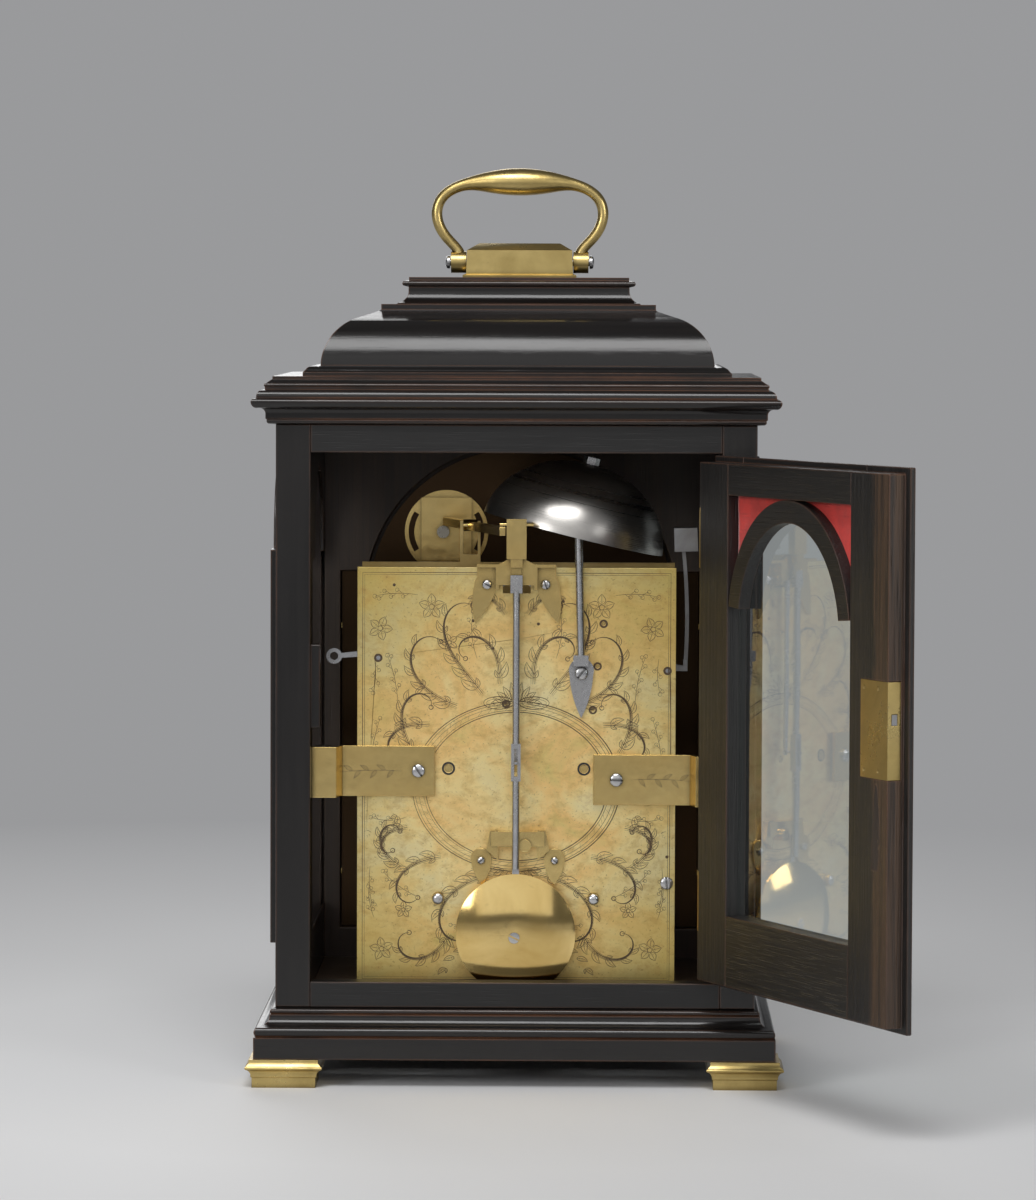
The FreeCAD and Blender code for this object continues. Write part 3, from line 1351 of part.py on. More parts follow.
def make_regulation():
    """The bridge behind the small dial, and the long arm that rocks on the front plate's fork.

    The eccentric on the hand's spindle lifts the arm's front end; the rear end carries the cross pin.
    """
    bridge = new_body("bridge")
    x, z = size.subdial_offset, size.subdial_height
    rear = DIAL_FACE + size.dial_thickness
    pad(bridge, "XZ_Plane", circle(x, z, 22.0), "1.4", -(rear + 1.4))
    for side in (1, -1):
        slot = outline(
            (x + side * 14.4, z - 9.0),
            ((x + side * 17.0, z), (x + side * 14.4, z + 9.0)),
            (x + side * 16.9, z + 10.6),
            ((x + side * 20.0, z), (x + side * 16.9, z - 10.6)),
        )
        pocket(bridge, "XZ_Plane", slot, "20", -rear, both=True)
    plate = outline((x - 13.2, z - 15), (x + 13.2, z - 15), (x + 13.2, z + 18), (x - 13.2, z + 18))
    pad(bridge, "XZ_Plane", plate, "1.4", -(rear + 2.8))
    pocket(bridge, "XZ_Plane", circle(x, z, 1.5), "20", -rear, both=True)
    node(bridge, "regulation_bridge")

    arm = new_body("lifting_arm")
    front = x + 1.6
    inside = front - 3.2
    rear_end = [(8.6, 74.4), (5.6, 74.4), (5.6, 70.0)]
    plan = outline((inside, -51.4), (front, -51.4), (front, -44.0), *rear_end, (inside, -46.0))
    pad(arm, "XY_Plane", plan, "4.4", ARM_LOW)
    boss = rod("arm_boss", "3.0", "7.2", (ARM_X - 3.6, ARM_Y, ARM_Z), (1, 0, 0))
    bore = rod("arm_bore", "1.05", "12.0", (ARM_X - 6.0, ARM_Y, ARM_Z), (1, 0, 0))
    node(cut("arm_whole", fuse("arm_solid", arm, boss), bore), "regulation_arm")


def make_motion_work():
    body = new_body("minute", on_arbor(MINUTE_X, MINUTE_Z))
    pad(body, "XY_Plane", toothed(MINUTE_TEETH, MOTION_MODULE, heading(MINUTE, MIDDLE)), "1.8", 58.0)
    aim = heading(MINUTE, MIDDLE)
    pad(body, "XY_Plane", toothed(MINUTE_PINION, MOTION_MODULE, aim, LEAF), "6.0", 59.8)
    pocket(body, "XY_Plane", circle(0, 0, 1.56), "20", 56.0, reverse=True)
    node(body, "minute_wheel")

    body = new_body("hour", on_arbor(*MIDDLE))
    collar = [(6.0, 62.0), (6.0, 65.0)]
    turn(body, outline((PIPE_IN, 62.0), *collar, (PIPE_OUT, 65.0), (PIPE_OUT, 124.2), (PIPE_IN, 124.2)))
    ring = toothed(HOUR_TEETH, MOTION_MODULE, heading(MIDDLE, MINUTE)) + circle(0, 0, 5.0)
    pad(body, "XY_Plane", ring, "1.8", 62.6)
    node(body, "hour_wheel")


def make_strike_train():
    body = new_body("pins", on_arbor(*PIN_PLACE))
    arbor(body, (FINE, -2.8), (1.3, 0.4), (FINE, 51.6), (0, THROUGH))
    pad(body, "XY_Plane", toothed(PINION, STRIKE_MODULE, heading(PIN_PLACE, STRIKE_FUSEE), LEAF), "7", 39.0)
    pad(body, "XY_Plane", toothed(PIN_TEETH, PIN_MODULE, heading(PIN_PLACE, WARNING_PLACE)), "1.8", 4.4)
    for index in range(6):
        angle = math.radians(60 * index + 20)
        pad(body, "XY_Plane", circle(15 * math.cos(angle), 15 * math.sin(angle), 0.8), "3.4", 4.4)
    node(body, "pin_wheel")

    body = new_body("warning", on_arbor(*WARNING_PLACE))
    arbor(body, (FINE, -2.8), (1.3, 0.4), (FINE, 51.6), (0, THROUGH))
    pad(body, "XY_Plane", toothed(PINION, PIN_MODULE, heading(WARNING_PLACE, PIN_PLACE), LEAF), "4.6", 3.0)
    ring = toothed(WARNING_TEETH, WARNING_MODULE, heading(WARNING_PLACE, FLY_PLACE))
    pad(body, "XY_Plane", ring, "1.6", 20.0)
    node(body, "warning_wheel")

    body = new_body("fan", on_arbor(*FLY_PLACE))
    arbor(body, (FINE, -2.8), (1.3, 0.4), (FINE, 51.6), (0, THROUGH))
    leaves = toothed(PINION, WARNING_MODULE, heading(FLY_PLACE, WARNING_PLACE), LEAF)
    pad(body, "XY_Plane", leaves, "4.6", 18.6)
    pad(body, "XY_Plane", outline((-13, -0.4), (13, -0.4), (13, 0.4), (-13, 0.4)), "17", 27.0)
    node(body, "fly")


def make_hammer():
    """A square steel head on a curved stem, on an arbor between the plates, with a lifting tail."""
    body = new_body("striker", on_arbor(*HAMMER))
    arbor(body, (STOUT, -2.8), (2.0, 0.4), (STOUT, 51.6), (0, THROUGH))
    foot = outline((-1.8, -2.4), (-10.6, -2.4), (-10.6, 3.4), (-8.4, 3.4), (-8.4, 0.4), (1.8, 2.2))
    pad(body, "XY_Plane", foot, "4.0", 31.0)
    stem = outline(
        (-10.6, 2.0),
        ((-11.0, 36.0), (-9.2, 60.0)),
        (-7.4, 60.0),
        ((-9.1, 36.0), (-8.6, 2.0)),
    )
    pad(body, "XY_Plane", stem, "2.4", 31.8)
    head = outline((-15.7, 59.2), (-3.7, 58.9), (-3.4, 70.9), (-15.2, 71.2))
    pad(body, "XY_Plane", head, "11.6", 27.2)
    tail = outline((-1.0, 1.8), (-1.0, -1.8), (17.0, -10.6), (20.6, -10.0), (18.0, -7.6))
    pad(body, "XY_Plane", tail, "1.4", 6.6)
    node(body, "hammer")


def make_repeat_lever():
    body = new_body("puller", on_arbor(*REPEAT))
    arbor(body, (STOUT, -2.8), (2.4, 0.4), (STOUT, 51.6), (0, THROUGH))
    lever = outline((0, -2.4), (12, -1.2), (20.6, -1.8), (20.6, 0.6), (12, 1.6), (0, 2.4))
    pad(body, "XY_Plane", lever, "2.2", 22.0)
    pad(body, "XY_Plane", circle(23.6, -0.8, 4.0) + circle(23.6, -0.8, 2.1), "2.2", 22.0)
    node(body, "repeat_lever")


# ---------------------------------------------------------------- build, check and write

make_feet()
make_base_moulding()
make_cornice()
make_bell_top()
make_sides()
make_windows()
make_rails_and_boards()
make_dial_mask()
make_front_door()
make_handle()
make_rear_door()
make_rear_lock()
make_hinges()
make_dial()
make_hands()
make_plates()
make_back_cock()
make_straps()
make_holdfast()
make_bell()
make_bell_stand()
make_screws()
make_going_train()
make_anchor()
make_pendulum()
make_regulation()
make_motion_work()
make_strike_train()
make_hammer()
make_repeat_lever()
doc.recompute()

for thing in doc.Objects:
    if "Invalid" in thing.State or "Error" in thing.State:
        raise RuntimeError(f"{thing.Name} ({thing.Label}) failed: {thing.State}")
os.makedirs("parts", exist_ok=True)
for thing in NODES:
    if thing.Shape.isNull() or not thing.Shape.isValid():
        raise RuntimeError(f"{thing.Label} has no valid shape")
    thing.Shape.exportStep(f"parts/{thing.Label}.step")
print(f"{len(NODES)} sub-parts written")
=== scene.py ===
import json
import math

import bmesh
import bpy
from mathutils import Matrix, Vector, noise


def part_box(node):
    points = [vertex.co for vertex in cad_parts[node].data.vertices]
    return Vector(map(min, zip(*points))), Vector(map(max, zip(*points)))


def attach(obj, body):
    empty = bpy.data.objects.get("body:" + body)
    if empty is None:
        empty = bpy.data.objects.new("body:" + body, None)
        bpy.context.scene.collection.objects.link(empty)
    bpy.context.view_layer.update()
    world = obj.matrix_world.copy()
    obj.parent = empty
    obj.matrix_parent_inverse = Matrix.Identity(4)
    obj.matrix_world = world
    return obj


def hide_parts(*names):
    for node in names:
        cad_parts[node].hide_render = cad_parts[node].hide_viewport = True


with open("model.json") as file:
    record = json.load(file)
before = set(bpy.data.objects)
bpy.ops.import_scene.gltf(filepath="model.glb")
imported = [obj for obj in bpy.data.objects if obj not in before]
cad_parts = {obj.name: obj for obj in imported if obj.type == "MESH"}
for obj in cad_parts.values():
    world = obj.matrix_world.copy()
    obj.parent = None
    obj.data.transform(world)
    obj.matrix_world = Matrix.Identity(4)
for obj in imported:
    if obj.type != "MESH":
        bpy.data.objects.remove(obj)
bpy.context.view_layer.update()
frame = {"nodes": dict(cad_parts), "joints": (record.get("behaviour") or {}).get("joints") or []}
NODES = frame["nodes"]
JOINTS = {joint["name"]: joint for joint in frame["joints"]}
MM = 0.001
CASE = "case_and_movement"
REARWARD = (0, 1, 0)


def placed(name, data):
    """a new object in the scene"""
    thing = bpy.data.objects.new(name, data)
    bpy.context.scene.collection.objects.link(thing)
    return thing


# ---- materials


class Paint:
    """One node material, with textures laid out in metres in the object's own frame."""

    def __init__(self, name):
        self.material = bpy.data.materials.new(name)
        self.material.use_nodes = True
        self.tree = self.material.node_tree
        self.shader = self.tree.nodes["Principled BSDF"]
        self.output = self.tree.nodes["Material Output"]
        self.place = self.node("TexCoord").outputs["Object"]

    def feed(self, socket, value):
        if isinstance(value, bpy.types.NodeSocket):
            self.tree.links.new(value, socket)
        else:
            socket.default_value = value

    def node(self, kind, inputs=None, **settings):
        """a node of KIND with its SETTINGS, and with numbers or other nodes' sockets as INPUTS"""
        made = self.tree.nodes.new(f"ShaderNode{kind}")
        for key, value in settings.items():
            setattr(made, key, value)
        for key, value in (inputs or {}).items():
            self.feed(made.inputs[key], value)
        return made

    def scaled(self, scale, place=None):
        """the place times SCALE, which is three numbers or one for all of them"""
        scale = (scale,) * 3 if isinstance(scale, float) else scale
        return self.node("Mapping", {"Vector": place or self.place, "Scale": scale}).outputs[0]

    def turned(self, degrees, about="Z", place=None):
        turn = [math.radians(degrees) if axis == about else 0.0 for axis in "XYZ"]
        return self.node("Mapping", {"Vector": place or self.place, "Rotation": turn}).outputs[0]

    def moved(self, offset):
        return self.node("VectorMath", {0: self.place, 1: offset}, operation="SUBTRACT").outputs[0]

    def coordinate(self, axis, place=None):
        return self.node("SeparateXYZ", {0: place or self.place}).outputs[axis]

    def length(self, place):
        return self.node("VectorMath", {0: place}, operation="LENGTH").outputs["Value"]

    def distance(self, centre, keep=(1, 1, 1)):
        """distance from a point, or from an axis through it along the direction that KEEP drops"""
        return self.length(self.scaled(keep, self.moved(centre)))

    def noise(self, place, detail=4.0, rough=0.5, warp=0.0):
        inputs = {"Vector": place, "Scale": 1.0, "Detail": detail, "Roughness": rough, "Distortion": warp}
        return self.node("TexNoise", inputs).outputs[0]

    def maths(self, how, a, b, clamp=False):
        return self.node("Math", {0: a, 1: b}, operation=how, use_clamp=clamp).outputs[0]

    def times(self, a, b, clamp=False):
        return self.maths("MULTIPLY", a, b, clamp)

    def plus(self, a, b, clamp=False):
        return self.maths("ADD", a, b, clamp)

    def span(self, value, low, high, out_low=0.0, out_high=1.0):
        """OUT_LOW to OUT_HIGH as VALUE goes from LOW to HIGH, and no further"""
        inputs = {"Value": value, "From Min": low, "From Max": high, "To Min": out_low, "To Max": out_high}
        return self.node("MapRange", inputs).outputs[0]

    def ramp(self, value, *stops):
        made = self.node("ValToRGB", {0: value})
        elements = made.color_ramp.elements
        elements[0].position, elements[0].color = stops[0][0], (*stops[0][1], 1.0)
        elements[1].position, elements[1].color = stops[-1][0], (*stops[-1][1], 1.0)
        for place, colour in stops[1:-1]:
            elements.new(place).color = (*colour, 1.0)
        return made.outputs["Color"]

    def mix(self, share, a, b):
        a, b = ((*colour, 1.0) if isinstance(colour, tuple) else colour for colour in (a, b))
        return self.node("Mix", {0: share, 6: a, 7: b}, data_type="RGBA").outputs[2]

    def bump(self, height, depth, strength, normal=None):
        made = self.node("Bump", {"Strength": strength, "Distance": depth, "Height": height})
        if normal is not None:
            self.feed(made.inputs["Normal"], normal)
        return made.outputs[0]

    def worn_edges(self, radius):
        """1 along sharp edges, falling to 0 RADIUS metres away, from how far a rounded normal leans"""
        rounded = self.node("Bevel", {"Radius": radius}, samples=4).outputs[0]
        flat = self.node("NewGeometry").outputs["Normal"]
        dot = self.node("VectorMath", {0: rounded, 1: flat}, operation="DOT_PRODUCT")
        return self.span(dot.outputs["Value"], 0.995, 0.86)

    def cover(self, share, first, second):
        """the surface goes from the shader FIRST to SECOND by SHARE"""
        made = self.node("MixShader", {0: share, 1: first.outputs[0], 2: second.outputs[0]})
        self.feed(self.output.inputs["Surface"], made.outputs[0])

    def finish(self, colour, roughness, normal, **constants):
        for key, value in (("Base Color", colour), ("Roughness", roughness), ("Normal", normal)):
            self.feed(self.shader.inputs[key], value)
        for key, value in constants.items():
            self.shader.inputs[key.replace("_", " ")].default_value = value
        return self.material


WEAR_RADIUS = 0.0014


def wood(name, grain, dark, light, worn, gloss, relief, turn=0.0, wear=0.6, streak=None, spread=0.22):
    """Sawn and planed boards: fibres along GRAIN, darker bands, open pores, and paler worn edges."""
    paint = Paint(name)
    place = paint.turned(turn) if turn else paint.place
    along = "XYZ".index(grain)

    def stretched(across, lengthwise):
        scale = [across] * 3
        scale[along] = lengthwise
        return paint.scaled(scale, place)

    fibres = paint.noise(stretched(420.0, 9.0), 5.0, 0.62)
    bands = paint.noise(stretched(46.0, 3.0), 3.0, 0.55, 0.6)
    pores = paint.noise(stretched(1500.0, 42.0), 2.0, 0.5)
    patches = paint.noise(paint.scaled(14.0), 4.0, 0.6)
    shade = paint.plus(paint.times(fibres, 0.6), paint.times(bands, 0.4))
    halfway = tuple(0.5 * (a + b) for a, b in zip(dark, light))
    colour = paint.ramp(shade, (0.30, dark), (0.52, halfway), (0.72, light))
    colour = paint.mix(paint.span(patches, 0.45, 0.72, 0.0, 0.5), colour, dark)
    if streak is not None:
        colour = streak(paint, colour, fibres)
    rubbed = paint.span(patches, 0.36, 0.60, 0.15, wear)
    rubbed = paint.times(paint.worn_edges(WEAR_RADIUS), rubbed, clamp=True)
    colour = paint.mix(rubbed, colour, worn)
    roughness = paint.span(paint.plus(fibres, patches), 0.6, 1.4, gloss, gloss + spread)
    grooves = paint.bump(fibres, relief * 1.2, 0.8)
    normal = paint.bump(paint.span(pores, 0.30, 0.42), relief, 0.5, grooves)
    return paint.finish(colour, roughness, normal, Specular_IOR_Level=0.5)


FINE_SCRATCHES, DEEP_SCRATCHES = 0.00002, 0.00004
# the brown towards which painted corner shade darkens brass
BROWN_SHADE = (0.05, 0.035, 0.02)
HANDS_REAR = (-0.0600, -0.0595)


def metal(
    name, bright, dull, gloss, tarnish, scratches=FINE_SCRATCHES, shade_tint=BROWN_SHADE, corner_shade=0.0, behind=None
):
    """Worked metal: cloudy tarnish, fine scratches and painted shade that darkens its corners; BEHIND
    colours its rear.
    """
    paint = Paint(name)
    clouds = paint.noise(paint.scaled(34.0), 5.0, 0.6, 0.4)
    specks = paint.noise(paint.scaled(420.0), 3.0, 0.6)
    lines = paint.noise(paint.scaled((2600.0, 160.0, 160.0), paint.turned(31.0, "Y")), 2.0, 0.5)
    share = paint.times(paint.span(clouds, 0.35, 0.70), tarnish)
    colour = paint.mix(share, bright, dull)
    colour = paint.mix(paint.span(specks, 0.62, 0.78, 0.0, 0.2), colour, dull)
    if behind is not None:
        colour = paint.mix(paint.span(paint.coordinate("Y"), *HANDS_REAR), colour, behind)
    # painted shade: ambient occlusion darkens the colour in corners and recesses, where shade would fall
    if corner_shade:
        corners = paint.node("AmbientOcclusion", {"Distance": 0.003}, samples=4)
        share = paint.span(corners.outputs["AO"], 0.35, 0.9, corner_shade, 0.0)
        colour = paint.mix(share, colour, shade_tint)
    cloudy = paint.plus(paint.times(clouds, 0.7), paint.times(specks, 0.3))
    roughness = paint.span(cloudy, 0.35, 0.7, gloss, gloss + 0.14)
    waves = paint.bump(paint.noise(paint.scaled(48.0), 2.0, 0.5), 0.0007, 0.6)
    normal = paint.bump(paint.plus(lines, specks), scratches, 0.6, waves)
    return paint.finish(colour, roughness, normal, Metallic=1.0)


GILDING = (
    (0.32, (0.92, 0.82, 0.48)), (0.47, (0.93, 0.74, 0.34)),
    (0.58, (0.88, 0.60, 0.24)), (0.72, (0.66, 0.54, 0.20)),
)
GREEN_GILT = (0.46, 0.35, 0.09)
BROWN_GILT = (0.46, 0.29, 0.09)
SPOTTED_GILT = (0.22, 0.13, 0.05)


def gilt_plate(name):
    """Old fire gilding: mottled pale gold, greener towards the edges of the plate, with brown specks."""
    paint = Paint(name)
    low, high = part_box("back_plate")
    middle = (low + high) * 0.5
    broad = paint.noise(paint.scaled((17.0, 17.0, 24.0)), 4.0, 0.62, 0.8)
    fine = paint.noise(paint.scaled((110.0, 110.0, 150.0)), 6.0, 0.7, 0.3)
    specks = paint.noise(paint.scaled(900.0), 2.0, 0.6)
    colour = paint.ramp(broad, *GILDING)
    away = paint.distance(middle, (1.0, 0.0, 0.82))
    colour = paint.mix(paint.span(away, 0.050, 0.112, 0.0, 0.8), colour, GREEN_GILT)
    colour = paint.mix(paint.span(fine, 0.47, 0.68, 0.0, 0.62), colour, BROWN_GILT)
    colour = paint.mix(paint.span(specks, 0.62, 0.76, 0.0, 0.6), colour, SPOTTED_GILT)
    roughness = paint.span(paint.plus(broad, fine), 0.7, 1.35, 0.30, 0.50)
    normal = paint.bump(paint.plus(fine, specks), 0.00003, 0.7)
    return paint.finish(colour, roughness, normal, Metallic=0.82)


def ringed_metal(name, bright, dull, gloss, centre, tilt, rings, depth):
    """Metal turned on a lathe: fine rings about an axis through CENTRE, tilted about Y."""
    paint = Paint(name)
    local = paint.turned(tilt, "Y", paint.moved(centre))
    across = paint.length(paint.scaled((1.0, 1.0, 0.0), local))
    sweep = paint.plus(paint.times(across, rings), paint.coordinate("Z", local))
    lines = paint.node("TexNoise", {"W": paint.times(sweep, 1100.0)}, noise_dimensions="1D")
    clouds = paint.noise(paint.scaled(26.0), 5.0, 0.6, 0.5)
    stains = paint.noise(paint.scaled(90.0), 4.0, 0.7)
    colour = paint.mix(paint.span(clouds, 0.36, 0.68), bright, dull)
    colour = paint.mix(paint.span(stains, 0.60, 0.78, 0.0, 0.5), colour, tuple(0.45 * c for c in dull))
    roughness = paint.span(paint.plus(clouds, lines.outputs[0]), 0.7, 1.3, gloss, gloss + 0.12)
    return paint.finish(colour, roughness, paint.bump(lines.outputs[0], depth, 0.5), Metallic=1.0)


MATTED_EDGE = (0.0585, 0.0595)
BROWNED_BACK = (0.050, 0.030, 0.016)


def matted_dial(name):
    """Polished brass, matted inside the chapter ring, with a back that has gone dark brown."""
    paint = Paint(name)
    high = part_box("dial_plate")[1]
    centre = JOINTS["centre_spin"]["pos_m"]
    inside = paint.span(paint.distance(centre, (1.0, 0.0, 1.0)), *MATTED_EDGE, 1.0, 0.0)
    grain = paint.node("TexVoronoi", {"Vector": paint.scaled(1700.0), "Scale": 1.0}).outputs["Distance"]
    clouds = paint.noise(paint.scaled(30.0), 5.0, 0.6)
    colour = paint.ramp(clouds, (0.3, (0.80, 0.61, 0.28)), (0.7, (0.62, 0.44, 0.17)))
    colour = paint.mix(paint.times(inside, 0.5), colour, (0.60, 0.46, 0.22))
    roughness = paint.span(inside, 0.0, 1.0, 0.26, 0.58)
    behind = paint.span(paint.coordinate("Y"), high.y - 0.0004, high.y - 0.0002)
    colour = paint.mix(behind, colour, BROWNED_BACK)
    normal = paint.bump(paint.times(grain, inside), 0.0002, 0.9)
    return paint.finish(colour, roughness, normal, Metallic=1.0)


def silvering(name):
    """Matt silvering rubbed on brass, a little yellow where it is worn."""
    paint = Paint(name)
    clouds = paint.noise(paint.scaled(60.0), 5.0, 0.65)
    strokes = paint.noise(paint.scaled((800.0, 800.0, 90.0)), 3.0, 0.5)
    stops = ((0.30, (0.80, 0.79, 0.74)), (0.62, (0.70, 0.68, 0.60)), (0.80, (0.58, 0.50, 0.34)))
    colour = paint.ramp(clouds, *stops)
    roughness = paint.span(clouds, 0.3, 0.7, 0.40, 0.52)
    return paint.finish(colour, roughness, paint.bump(strokes, 0.00002, 0.6), Metallic=0.75)


GLASS_TINT = (0.93, 0.96, 0.95, 1.0)
GLASS_SHINE = (0.95, 0.97, 1.0, 1.0)


def clear_glass(name):
    """Thin old glass: see-through, more of a mirror at low angles, with slow waves in its surface."""
    paint = Paint(name)
    paint.tree.nodes.remove(paint.shader)
    waves = paint.bump(paint.noise(paint.scaled((16.0, 16.0, 9.0)), 2.0, 0.5), 0.0006, 0.25)
    through = paint.node("BsdfTransparent", {"Color": GLASS_TINT})
    mirror = paint.node("BsdfGlossy", {"Color": GLASS_SHINE, "Roughness": 0.03, "Normal": waves})
    angle = paint.node("Fresnel", {"IOR": 1.5}).outputs[0]
    outside = paint.maths("SUBTRACT", 1.0, paint.node("NewGeometry").outputs["Backfacing"])
    share = paint.times(paint.times(angle, 2.2), outside, clamp=True)
    paint.cover(share, through, mirror)
    return paint.material


def woven_silk(name, turn):
    """Plain-weave silk: crossing threads, slubs, and a soft sheen."""
    paint = Paint(name)
    place = paint.turned(-turn)
    threads = {"Vector": place, "Scale": 620.0, "Distortion": 1.4, "Detail": 1.0}
    warp, weft = (paint.node("TexWave", threads, wave_type="BANDS", bands_direction=way) for way in "XZ")
    slubs = paint.noise(paint.scaled((40.0, 40.0, 520.0), place), 3.0, 0.6)
    faded = paint.noise(paint.scaled(38.0), 4.0, 0.6)
    stops = ((0.28, (0.50, 0.022, 0.016)), (0.52, (0.66, 0.035, 0.024)), (0.78, (0.36, 0.018, 0.014)))
    colour = paint.ramp(faded, *stops)
    colour = paint.mix(paint.span(slubs, 0.55, 0.75, 0.0, 0.45), colour, (0.24, 0.012, 0.010))
    height = paint.plus(paint.times(warp.outputs["Fac"], weft.outputs["Fac"]), slubs)
    normal = paint.bump(height, 0.0001, 0.8)
    return paint.finish(colour, 0.62, normal, Sheen_Weight=0.35, Sheen_Roughness=0.4)


def ink(name, colour, roughness):
    """Wax or dirt that fills an engraved line, uneven along its length."""
    paint = Paint(name)
    uneven = paint.noise(paint.scaled(260.0), 4.0, 0.6)
    shade = paint.mix(paint.span(uneven, 0.40, 0.70, 0.0, 0.7), colour, tuple(1.9 * c for c in colour))
    rough = paint.span(uneven, 0.3, 0.7, roughness - 0.08, roughness + 0.1)
    return paint.finish(shade, rough, paint.bump(uneven, 0.00004, 0.5))


DOOR_OPEN = 115.0
DOOR_HINGE = Vector(JOINTS["rear_door_hinge"]["pos_m"])
DOOR_ALONG = Vector((math.cos(math.radians(DOOR_OPEN)), math.sin(math.radians(DOOR_OPEN)), 0.0))
DOOR_OUT = Vector((-DOOR_ALONG.y, DOOR_ALONG.x, 0.0))
DOOR_INNER = -13.4
STREAK_EDGE = (0.195, 0.199)
STREAK_DEPTH = (-0.0060, -0.0055)
BARE_WOOD = (0.085, 0.045, 0.022)
RAILS_REAR = (0.0775, 0.0785)


def door_point(along, out, height):
    """a point of the open rear door, from mm along it, out of its hinge axis' plane, and up"""
    place = DOOR_HINGE + DOOR_ALONG * (along * MM) + DOOR_OUT * (out * MM)
    return Vector((place.x, place.y, height * MM))


def brown_streak(paint, colour, fibres):
    """bare wood in a ragged streak along the outer third of the lock stile's inner face"""
    local = paint.turned(-DOOR_OPEN, place=paint.moved(tuple(DOOR_HINGE)))
    ragged = paint.times(paint.noise(paint.scaled((40.0, 40.0, 16.0)), 5.0, 0.7), 0.022)
    along = paint.plus(paint.coordinate("X", local), ragged)
    inside = paint.times(paint.span(along, *STREAK_EDGE), 0.75)
    inner_face = paint.span(paint.coordinate("Y", local), *STREAK_DEPTH, 1.0, 0.0)
    inside = paint.times(inside, inner_face)
    inside = paint.times(inside, paint.span(fibres, 0.38, 0.60, 0.25, 1.0), clamp=True)
    return paint.mix(inside, colour, BARE_WOOD)


def blacked_rear(paint, colour, fibres):
    """the rails' rear faces are ebonised like the case, and the wood behind them is bare"""
    return paint.mix(paint.span(paint.coordinate("Y"), *RAILS_REAR), colour, BLACK)


BLACK = (0.0045, 0.0040, 0.0038)
RUST, TAN = (0.15, 0.060, 0.026), (0.16, 0.085, 0.042)

OAK, EBONY = (0.015, 0.0125, 0.011), (0.012, 0.010, 0.009)
OAK_GLOSS, OAK_RELIEF = 0.34, 0.00040

EBONY_X = wood(
    "ebonised_along_x", "X", BLACK, EBONY, RUST, gloss=0.15, relief=0.00002, wear=0.8, spread=0.10
)
EBONY_Z = wood(
    "ebonised_upright", "Z", BLACK, (0.013, 0.011, 0.010), RUST,
    gloss=0.20, relief=0.00003, wear=0.8, spread=0.10,
)
BARE_Z = wood("blackened_oak_upright", "Z", BLACK, OAK, RUST, OAK_GLOSS, OAK_RELIEF)
BARE_LOCK = wood(
    "blackened_oak_lock_stile", "Z", BLACK, OAK, RUST, OAK_GLOSS, OAK_RELIEF, streak=brown_streak
)
BARE_RAIL = wood("blackened_oak_rail", "X", BLACK, OAK, RUST, OAK_GLOSS, OAK_RELIEF, turn=-DOOR_OPEN)
INSIDE = wood(
    "oak_inside", "X", (0.010, 0.007, 0.005), (0.055, 0.032, 0.018), RUST,
    gloss=0.30, relief=0.00010, streak=blacked_rear,
)
MASK = wood(
    "oak_mask", "Z", (0.016, 0.009, 0.006), (0.055, 0.030, 0.018), TAN,
    gloss=0.42, relief=0.00010, wear=0.4,
)
TORN = wood(
    "torn_oak", "Z", (0.010, 0.008, 0.007), (0.070, 0.045, 0.030), TAN,
    gloss=0.60, relief=0.00035, wear=0.9,
)

PLATE = gilt_plate("old_gilding")
# the metals below are darkened in their corners with painted shade, by the amount and tint given with each
BRASS = metal(
    "polished_brass", (0.88, 0.66, 0.27), (0.58, 0.38, 0.12), gloss=0.15, tarnish=0.55, corner_shade=0.8
)
CAST = metal(
    "satin_brass", (0.64, 0.49, 0.20), (0.36, 0.26, 0.09),
    gloss=0.25, tarnish=0.8, scratches=DEEP_SCRATCHES, corner_shade=0.9,
)
WORN_BRASS = metal(
    "dull_brass", (0.66, 0.50, 0.22), (0.38, 0.26, 0.09),
    gloss=0.30, tarnish=0.8, scratches=DEEP_SCRATCHES, corner_shade=0.8,
)
CHASED = metal("chased_brass", (0.88, 0.68, 0.30), (0.62, 0.42, 0.15), gloss=0.22, tarnish=0.5)
STEEL = metal(
    "grey_steel", (0.62, 0.62, 0.63), (0.36, 0.35, 0.34),
    gloss=0.20, tarnish=0.6, shade_tint=(0.03, 0.025, 0.02), corner_shade=0.7,
)
DARK_STEEL = metal(
    "stained_steel", (0.42, 0.42, 0.43), (0.22, 0.21, 0.20),
    gloss=0.26, tarnish=0.8, scratches=DEEP_SCRATCHES, shade_tint=(0.02,) * 3, corner_shade=0.6,
)
BLUED = metal(
    "blued_steel", (0.035, 0.06, 0.19), (0.03, 0.03, 0.07),
    gloss=0.20, tarnish=0.6, shade_tint=(0.01,) * 3, corner_shade=0.4, behind=(0.45, 0.42, 0.36),
)
SILVERED = silvering("rubbed_silvering")
DIAL = matted_dial("dial_brass")
GLASS = clear_glass("old_glass")
SILK = woven_silk("red_silk_weave", DOOR_OPEN)
ENGRAVED = ink("engraved_line", (0.050, 0.028, 0.010), 0.6)
BLACK_WAX = ink("black_wax", (0.006, 0.006, 0.006), 0.5)

BELL_RIM = Vector((-28.2, 27.0, 276.0)) * MM
BELL_TILT = 14.0
BELL = ringed_metal(
    "bell_metal", (0.54, 0.52, 0.49), (0.34, 0.325, 0.31),
    gloss=0.26, centre=BELL_RIM, tilt=BELL_TILT, rings=1.0, depth=0.000006,
)
BOB_MIDDLE = Vector((0.0, 71.0, 75.0)) * MM
BOB = ringed_metal(
    "bob_brass", (0.88, 0.66, 0.28), (0.66, 0.45, 0.15),
    gloss=0.06, centre=BOB_MIDDLE, tilt=0.0, rings=0.0, depth=0.0,
)

